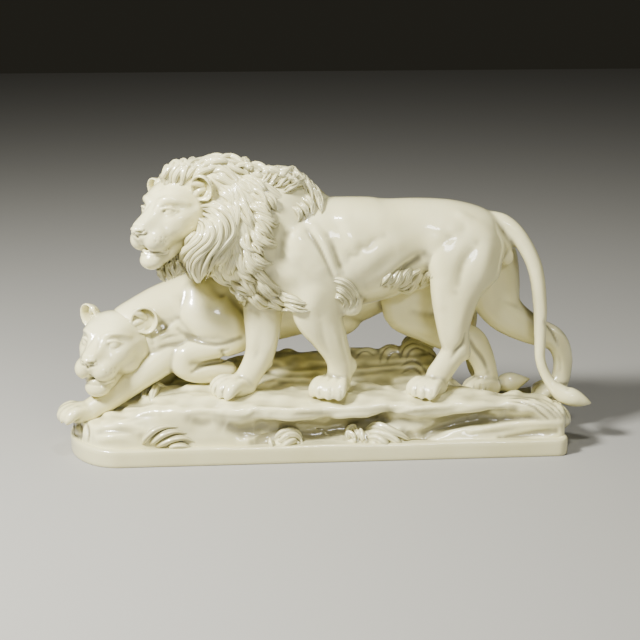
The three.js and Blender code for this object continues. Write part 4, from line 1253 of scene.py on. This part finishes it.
LION_STROKES = [
    # Shoulder and foreleg
    ([(293, 230), (296, 240), (297, 252)], 7, 2.4),
    ([(289, 227), (283, 240), (281, 256), (284, 268)], 5, -0.7),
    ([(307, 232), (314, 240), (321, 251), (327, 263), (332, 274), (336, 281)], 2.8, -1.2),
    ([(311, 225), (317, 233), (324, 245), (330, 258), (335, 270), (339, 280)], 3.2, 2.0),
    ([(329, 236), (334, 249), (338, 262), (342, 272)], 4.0, -1.4),
    ([(300, 240), (308, 254), (318, 268)], 8, 1.8),
    ([(284, 203), (288, 212)], 12, 1.6),
    ([(313, 297), (312, 304)], 8, 2.0),
    ([(270, 262), (284, 274), (300, 280)], 6, 0.8),
    # Ribs and belly
    ([(341, 266), (347, 262), (350, 256), (357, 254), (361, 248), (368, 246), (374, 240),
      (384, 236)], 3.6, -1.1),
    ([(352, 275), (366, 265), (380, 253), (396, 246)], 8, 2.0),
    ([(362, 284), (384, 275), (408, 261)], 7, 1.2),
    ([(344, 222), (352, 236), (358, 249)], 8, 1.0),
    ([(350, 212), (372, 214), (390, 222)], 10, 1.2),
    ([(424, 255), (408, 266), (390, 277)], 5, -3.0),
    ([(330, 214), (338, 232), (345, 250)], 5, -0.6),
    ([(395, 214), (420, 216), (440, 222)], 9, 0.9),
    # Hip and thigh
    ([(461, 215), (466, 218)], 4.5, 1.2),
    ([(453, 229), (455, 232)], 4.5, 1.0),
    ([(440, 232), (437, 252), (441, 280)], 9, 2.4),
    ([(476, 244), (463, 264), (456, 292)], 5, -2.0),
    ([(489, 240), (485, 262), (475, 290)], 8, 1.6),
    ([(468, 300), (462, 318), (460, 334)], 5, 0.8),
    ([(437, 292), (440, 304)], 5, 1.0),
    ([(465, 334), (463, 343), (457, 350), (451, 358)], 1.8, -1.6),
    ([(467, 349), (466, 357)], 4.0, 1.6),
    ([(445, 300), (447, 325), (446, 345)], 4, -0.6),
    # Far hind leg
    ([(500, 300), (515, 306), (527, 312)], 4, -0.9),
    ([(545, 322), (553, 333), (558, 346)], 2.0, -1.8),
    ([(556, 330), (564, 339), (569, 348)], 3.0, 1.8),
    ([(558, 352), (560, 364), (560, 374)], 3.0, -1.2),
    ([(558, 382), (564, 384), (571, 383)], 1.4, -1.2),
    # Toes
    ([(321, 385), (319, 392), (320, 399)], 1.2, -1.5),
    ([(331, 384), (330, 392), (331, 400)], 1.2, -1.5),
    ([(341, 386), (342, 393), (341, 399)], 1.2, -1.3),
    ([(417, 382), (415, 390), (416, 397)], 1.2, -1.5),
    ([(425, 383), (424, 391), (425, 399)], 1.2, -1.5),
    ([(433, 385), (432, 392), (432, 398)], 1.2, -1.3),
    ([(216, 385), (214, 391), (213, 398)], 1.2, -1.4),
    ([(224, 386), (222, 392), (222, 399)], 1.2, -1.4),
    # Foreleg tendons
    ([(320, 318), (323, 340), (330, 358)], 4, -1.1),
    ([(262, 330), (258, 350), (250, 366)], 4, -1.0),
    ([(276, 326), (274, 342), (268, 356)], 4, 1.0),
    ([(334, 330), (340, 348), (346, 360)], 3, 0.9),
]

LIONESS_STROKES = [
    # Neck behind the jaw
    ([(152, 336), (162, 330), (172, 322)], 2.0, -0.8),
    ([(153, 344), (166, 338), (180, 334)], 2.0, -0.8),
    ([(159, 318), (165, 328), (176, 336)], 6, -1.3),
    ([(154, 348), (168, 345), (182, 344)], 2.2, -0.8),
    ([(150, 330), (152, 340), (152, 348)], 3, -1.4),
    ([(192, 318), (205, 322), (222, 326)], 12, 1.6),
    ([(178, 329), (195, 340), (210, 343.7), (224, 343.7), (240, 338)], 2.4, -1.6),
    ([(172, 298), (178, 308), (181, 318)], 4, 0.9),
    ([(192, 372), (204, 365), (222, 361), (233, 357)], 1.8, -2.0),
    ([(185, 352), (186, 362)], 4, 0.6),
    ([(460, 330), (470, 318), (478, 312)], 3, -0.8),
    # Near hind leg
    ([(468, 336), (474, 348), (483, 360), (488, 372)], 2.4, -1.3),
    ([(474, 334), (484, 344), (491, 358)], 3.0, 1.0),
    ([(474, 383), (473, 389), (474, 394)], 1.0, -1.3),
    ([(480, 384), (479, 390), (480, 395)], 1.0, -1.3),
    ([(487, 385), (486, 391), (486, 396)], 1.0, -1.2),
]

ROCK_STROKES = [
    # Hollows under the ledge
    ([(262, 425), (290, 431), (320, 432), (341, 427), (363, 424), (390, 415)], 6, -7.0),
    ([(296, 441), (320, 442), (344, 439)], 4.5, -4.0),
    ([(412, 441), (437, 428), (460, 420), (487, 415), (514, 412)], 5.5, -6.0),
    ([(224, 425), (240, 431), (256, 429)], 5, -3.2),
    ([(254, 444), (266, 441), (274, 436)], 4, -3.0),
    ([(404, 432), (416, 440), (430, 444)], 4, -3.0),
    ([(190, 420), (202, 424), (214, 422)], 4, -1.8),
    # Faces between them
    ([(330, 420), (348, 415), (366, 416)], 4, 2.0),
    ([(268, 416), (290, 418), (312, 419)], 4, 1.4),
    ([(450, 413), (470, 409), (492, 407)], 4, 1.2),
    ([(240, 440), (252, 438), (262, 435)], 3, 1.2),
    # Rim of the ledge
    ([(220, 413), (240, 414.5), (248, 413), (257, 408.6), (290, 410), (320, 410), (348, 408.6),
      (386, 405.7)], 1.8, 1.5),
    ([(396, 413), (412, 409), (430, 407), (452, 406)], 1.8, 1.5),
    ([(188, 411), (205, 410), (222, 412)], 1.8, 1.2),
    # Lower slab on the right
    ([(470, 431), (500, 426), (525, 423), (563, 422.5)], 2.2, 2.0),
    ([(500, 438), (530, 434), (556, 431)], 2.4, -2.4),
    # Drape over the right end
    ([(543, 399), (556, 406), (565, 417)], 1.0, -1.3),
    ([(550, 398), (563, 406), (569, 418)], 1.0, -1.3),
    ([(556, 398), (568, 406), (572, 418)], 1.0, -1.3),
    ([(531, 402), (544, 407), (556, 418)], 1.0, -1.3),
    ([(534, 406), (539, 412), (548, 419)], 1.0, -1.2),
    ([(537, 400), (550, 406), (561, 418)], 1.0, -1.2),
    ([(512, 401), (524, 403), (535, 408)], 1.0, -1.2),
    ([(509, 398), (522, 398), (536, 401)], 1.0, -1.0),
    # Curled leaves behind the lion
    ([(400, 358), (404, 348), (412, 343), (420, 345)], 0.9, -1.1),
    ([(406, 359), (410, 351), (417, 348), (425, 351)], 0.9, -1.1),
    ([(380, 362), (382, 353), (388, 347), (395, 348)], 0.9, -1.1),
    ([(387, 362), (389, 356), (394, 352), (399, 354)], 0.9, -1.0),
    ([(356, 358), (361, 352), (367, 351), (373, 355)], 0.9, -0.9),
    ([(428, 352), (434, 356), (438, 359)], 0.9, -0.9),
    ([(401, 366), (411, 361), (420, 364), (428, 374)], 1.0, -1.1),
    ([(402, 373), (411, 368), (418, 371), (424, 379)], 1.0, -1.1),
    # Left end
    ([(118, 424), (128, 426), (142, 427)], 2.0, 1.0),
    ([(92, 436), (104, 430), (120, 431), (140, 436)], 4, -2.6),
    ([(100, 414), (130, 417), (160, 416)], 3.5, -1.4),
    ([(72, 420), (74, 430), (73, 440)], 1.6, -1.6),
    ([(78, 419), (81, 430), (80, 441)], 1.6, -1.6),
    ([(86, 420), (88, 430), (88, 440)], 1.6, -1.4),
]

# Worked after the rock's other strokes, to deepen the hollows behind the leaf tufts and darken them with
# painted shade
HOLLOW_STROKES = [
    ([(290, 432), (316, 435), (344, 432)], 6, -3.4),
    ([(372, 419), (356, 426), (342, 434)], 5, -3.2),
    ([(246, 434), (264, 435), (282, 431)], 5, -3.4),
    ([(300, 424), (325, 428), (350, 424)], 4, -3.0),
    ([(428, 433), (460, 423), (492, 417)], 4, -3.0),
]

# The leaves, in squares of the sheet, with their half-width
LEAVES = [
    # Tufts on the front
    ([(271, 442), (279, 435), (288, 431.5), (297, 433), (303, 439)], 3.6),
    ([(274, 445), (282, 440), (290, 437), (298, 439), (303, 444)], 3.6),
    ([(278, 448), (286, 444.5), (294, 443), (302, 446)], 3.4),
    ([(275, 449), (285, 451), (295, 450.5), (306, 446)], 3.2),
    ([(271, 440), (272, 445), (277, 450)], 2.6),
    ([(361, 430), (374, 428), (389, 430), (401, 436), (414, 445.5)], 4.2),
    ([(362, 434), (374, 432.5), (387, 436), (398, 442), (409, 447)], 4.2),
    ([(364, 438), (374, 438), (384, 442.5), (394, 447), (405, 449)], 4.0),
    ([(367, 442), (376, 444), (385, 448.5), (396, 450.5)], 3.4),
    ([(345, 437), (348, 431), (354, 429), (358, 434), (358, 441)], 3.4),
    ([(347, 440), (350, 436), (354, 439), (356, 445)], 2.8),
    ([(359, 429), (361, 434), (363, 440), (368, 445)], 3.0),
    # Fan on the left
    ([(141, 448), (145, 439), (153, 431), (165, 426.5), (178, 427)], 3.2),
    ([(146, 449), (153, 441), (163, 434), (175, 431), (187, 433)], 3.2),
    ([(153, 449), (162, 443), (173, 438), (185, 438), (195, 442)], 3.2),
    ([(163, 449), (173, 446), (184, 445), (194, 448)], 3.0),
    # Leafy tuft behind the lioness's head
    ([(142, 402), (146, 392), (154, 384), (162, 381)], 4),
    ([(150, 403), (154, 394), (160, 388), (168, 388)], 4),
    ([(140, 398), (141, 388), (146, 380), (153, 376)], 4),
]

# Places where the legs run into the lion's trunk, and those round his near elbow, with their reach in mm
LION_JOINS = [
    (310, 284, 20), (300, 262, 16), (296, 301, 14), (310, 301, 14), (324, 301, 14), (284, 292, 13),
    (337, 300, 12), (262, 302, 10), (446, 292, 12), (500, 240, 12), (472, 284, 12),
]
ELBOW_JOINS = [(284, 302, 13), (298, 303, 15), (312, 303, 15), (326, 302, 14)]

# Building the group

# Size of each skin's quads
LION_CELL, LIONESS_CELL, HEAD_CELL, ROCK_CELL, BED_CELL = 1.3, 1.15, 0.55, 1.2, 1.8

lion = Clay(lion_shells(), LION_CELL)
lion.soften(4)
lion.blend(LION_JOINS)
lion.blend(LION_JOINS)
lion.blend(ELBOW_JOINS, rounds=70)
lion.carve(LION_STROKES)
lion.soften(2)
# Painted shade on the lion's undersides, and in his lines and hollows with glaze pooling
skin_piece("lion_body", lion, carved=0.35, underside=0.45)
lion_base = head_piece("lion_head", LION_HEAD, LION_AXES, LION_FACE, rounds=18)

# The locks lie on a plain bed of the body and the head together, and the short hair on the carved body
body_tree = lion.tree()
bed = Clay(lion_shells() + lion_base, BED_CELL)
bed.soften(3)
bed_tree = bed.tree()
ruff = bundles(bed_tree, RUFF_LOCKS, lift=2.4, thick=3.8, strands=4)
crown = bundles(bed_tree, CROWN_LOCKS, lift=1.1, thick=3.3, strands=4)
lock_piece("mane_ruff", ruff)
short = bundles(body_tree, SHORT_LOCKS, lift=1.2, thick=2.8, strands=3)
lock_piece("mane_crown", crown)
lock_piece("short_hair", short)
lock_piece("mane_under", fall_locks(bed_tree, 1, count=48))
lock_piece("mane_far", fall_locks(bed_tree, -1, count=125))
to_group = head_place(LION_HEAD, LION_AXES)
far_cheek = [made for path, width in FAR_RUFF for made in combed(bed_tree, to_group(path), width)]
lock_piece("far_cheek_hair", far_cheek)

lioness = Clay(lioness_shells(), LIONESS_CELL)
lioness.soften(6)
lioness.carve(LIONESS_STROKES)
lioness.soften(2)
# Painted shade: the lioness's body is darker away from her head, where she lies in the lion's shade, and on
# her undersides
shaded = 0.15 * ease(30, 70, np.linalg.norm(lioness.points - LIONESS_HEAD, axis=1))
skin_piece("lioness_body", lioness, underside=0.5, cover=shaded)
head_piece("lioness_head", LIONESS_HEAD, LIONESS_AXES, LIONESS_FACE, rounds=26)

# Boulders and curled leaves that are fused with the rock
boulders = [
    ball([-130, 30, 44], [19, 14, 17], heading(0.3)),
    ball([46, 38, 54.5], [14, 9, 11], heading(0)),
    ball([66, 37, 56], [12.5, 9, 12], heading(0)),
    ball([84, 36, 58], [13.5, 10, 14], heading(0.2, 0.3)),
    sweep([(88, 36, 62, 7, 8), (98, 36, 58, 6, 6), (107, 34, 52, 1, 1)]),
    sweep([(62, 36, 52, 6, 6), (80, 33, 55, 8, 8), (96, 28, 49, 8, 8), (106, 22, 38, 5, 5)]),
    sweep([(70, 26, 46, 6, 6), (84, 22, 47, 7, 7), (96, 16, 40, 5, 5)]),
    ball([184, -30, 26], [21, 18, 12], heading(0.2, 0.3)),
]
stone = Clay([rock(), *boulders], ROCK_CELL)
stone.soften(2)
stone.carve(ROCK_STROKES)
stone.carve(HOLLOW_STROKES)
stone.soften(1)
# The rock's pressed hollows are darkened strongly, painted shade with glaze pooling, under an even painted
# shade
skin_piece("rock", stone, carved=0.95, underside=0.15, folds=1.6, cover=BASE_SHADE)
leaves = [(drawn, width, 1) for drawn, width in LEAVES]
lock_piece("leaves", bundles(stone.tree(), leaves, lift=1.6, thick=4.6, strands=2))
plinth_points, plinth_quads, plinth_tris = plinth()
# The plinth takes the even painted shade
piece("plinth", plinth_points, plinth_quads, plinth_tris, np.full(len(plinth_points), BASE_SHADE))


# Floor, light and camera

LOOKED_AT = Vector((0, 0, 0.1))

# The lamps: place and width in metres, and power in watts
LAMPS = {
    "key": ((-0.70, -0.46, 0.86), 0.24, 41),
    "fill": ((1.1, -0.9, 0.7), 0.6, 0.6),
    "window": ((0.32, -1.15, 0.85), 0.28, 5),
    "top": ((0.06, -0.52, 1.4), 0.2, 9),
}


def studio():
    """Plain pale floor and soft lights: a key at the upper left, a weak fill, one in front and one above."""
    floor_mesh = bpy.data.meshes.new("floor")
    floor_mesh.from_pydata([(-3, -3, 0), (3, -3, 0), (3, 3, 0), (-3, 3, 0)], [], [(0, 1, 2, 3)])
    floor = bpy.data.objects.new("floor", floor_mesh)
    bpy.context.scene.collection.objects.link(floor)
    paint = bpy.data.materials.new("floor_paint")
    paint.use_nodes = True
    shader = paint.node_tree.nodes["Principled BSDF"]
    shader.inputs["Base Color"].default_value = (0.32, 0.31, 0.27, 1)
    shader.inputs["Roughness"].default_value = 0.8
    floor_mesh.materials.append(paint)
    for name, (at, width, power) in LAMPS.items():
        lamp = bpy.data.lights.new(name, "AREA")
        lamp.shape = "RECTANGLE"
        lamp.size = width
        lamp.size_y = width * 0.7
        lamp.energy = power
        stand = bpy.data.objects.new(name, lamp)
        stand.location = at
        stand.rotation_euler = (LOOKED_AT - Vector(at)).to_track_quat("-Z", "Y").to_euler()
        bpy.context.scene.collection.objects.link(stand)
    world = bpy.data.worlds.new("room")
    world.use_nodes = True
    air = world.node_tree.nodes["Background"].inputs
    air["Color"].default_value = (0.62, 0.58, 0.44, 1)
    air["Strength"].default_value = 0.03
    bpy.context.scene.world = world


def camera():
    """Camera at the stand that the strokes are drawn from."""
    lens = bpy.data.cameras.new("camera")
    lens.lens = LENS
    lens.sensor_width = SENSOR
    stand = bpy.data.objects.new("camera", lens)
    stand.location = Vector(EYE * METRES)
    stand.rotation_euler = Vector(-BACK).to_track_quat("-Z", "Y").to_euler()
    bpy.context.scene.collection.objects.link(stand)
    bpy.context.scene.camera = stand


studio()
camera()
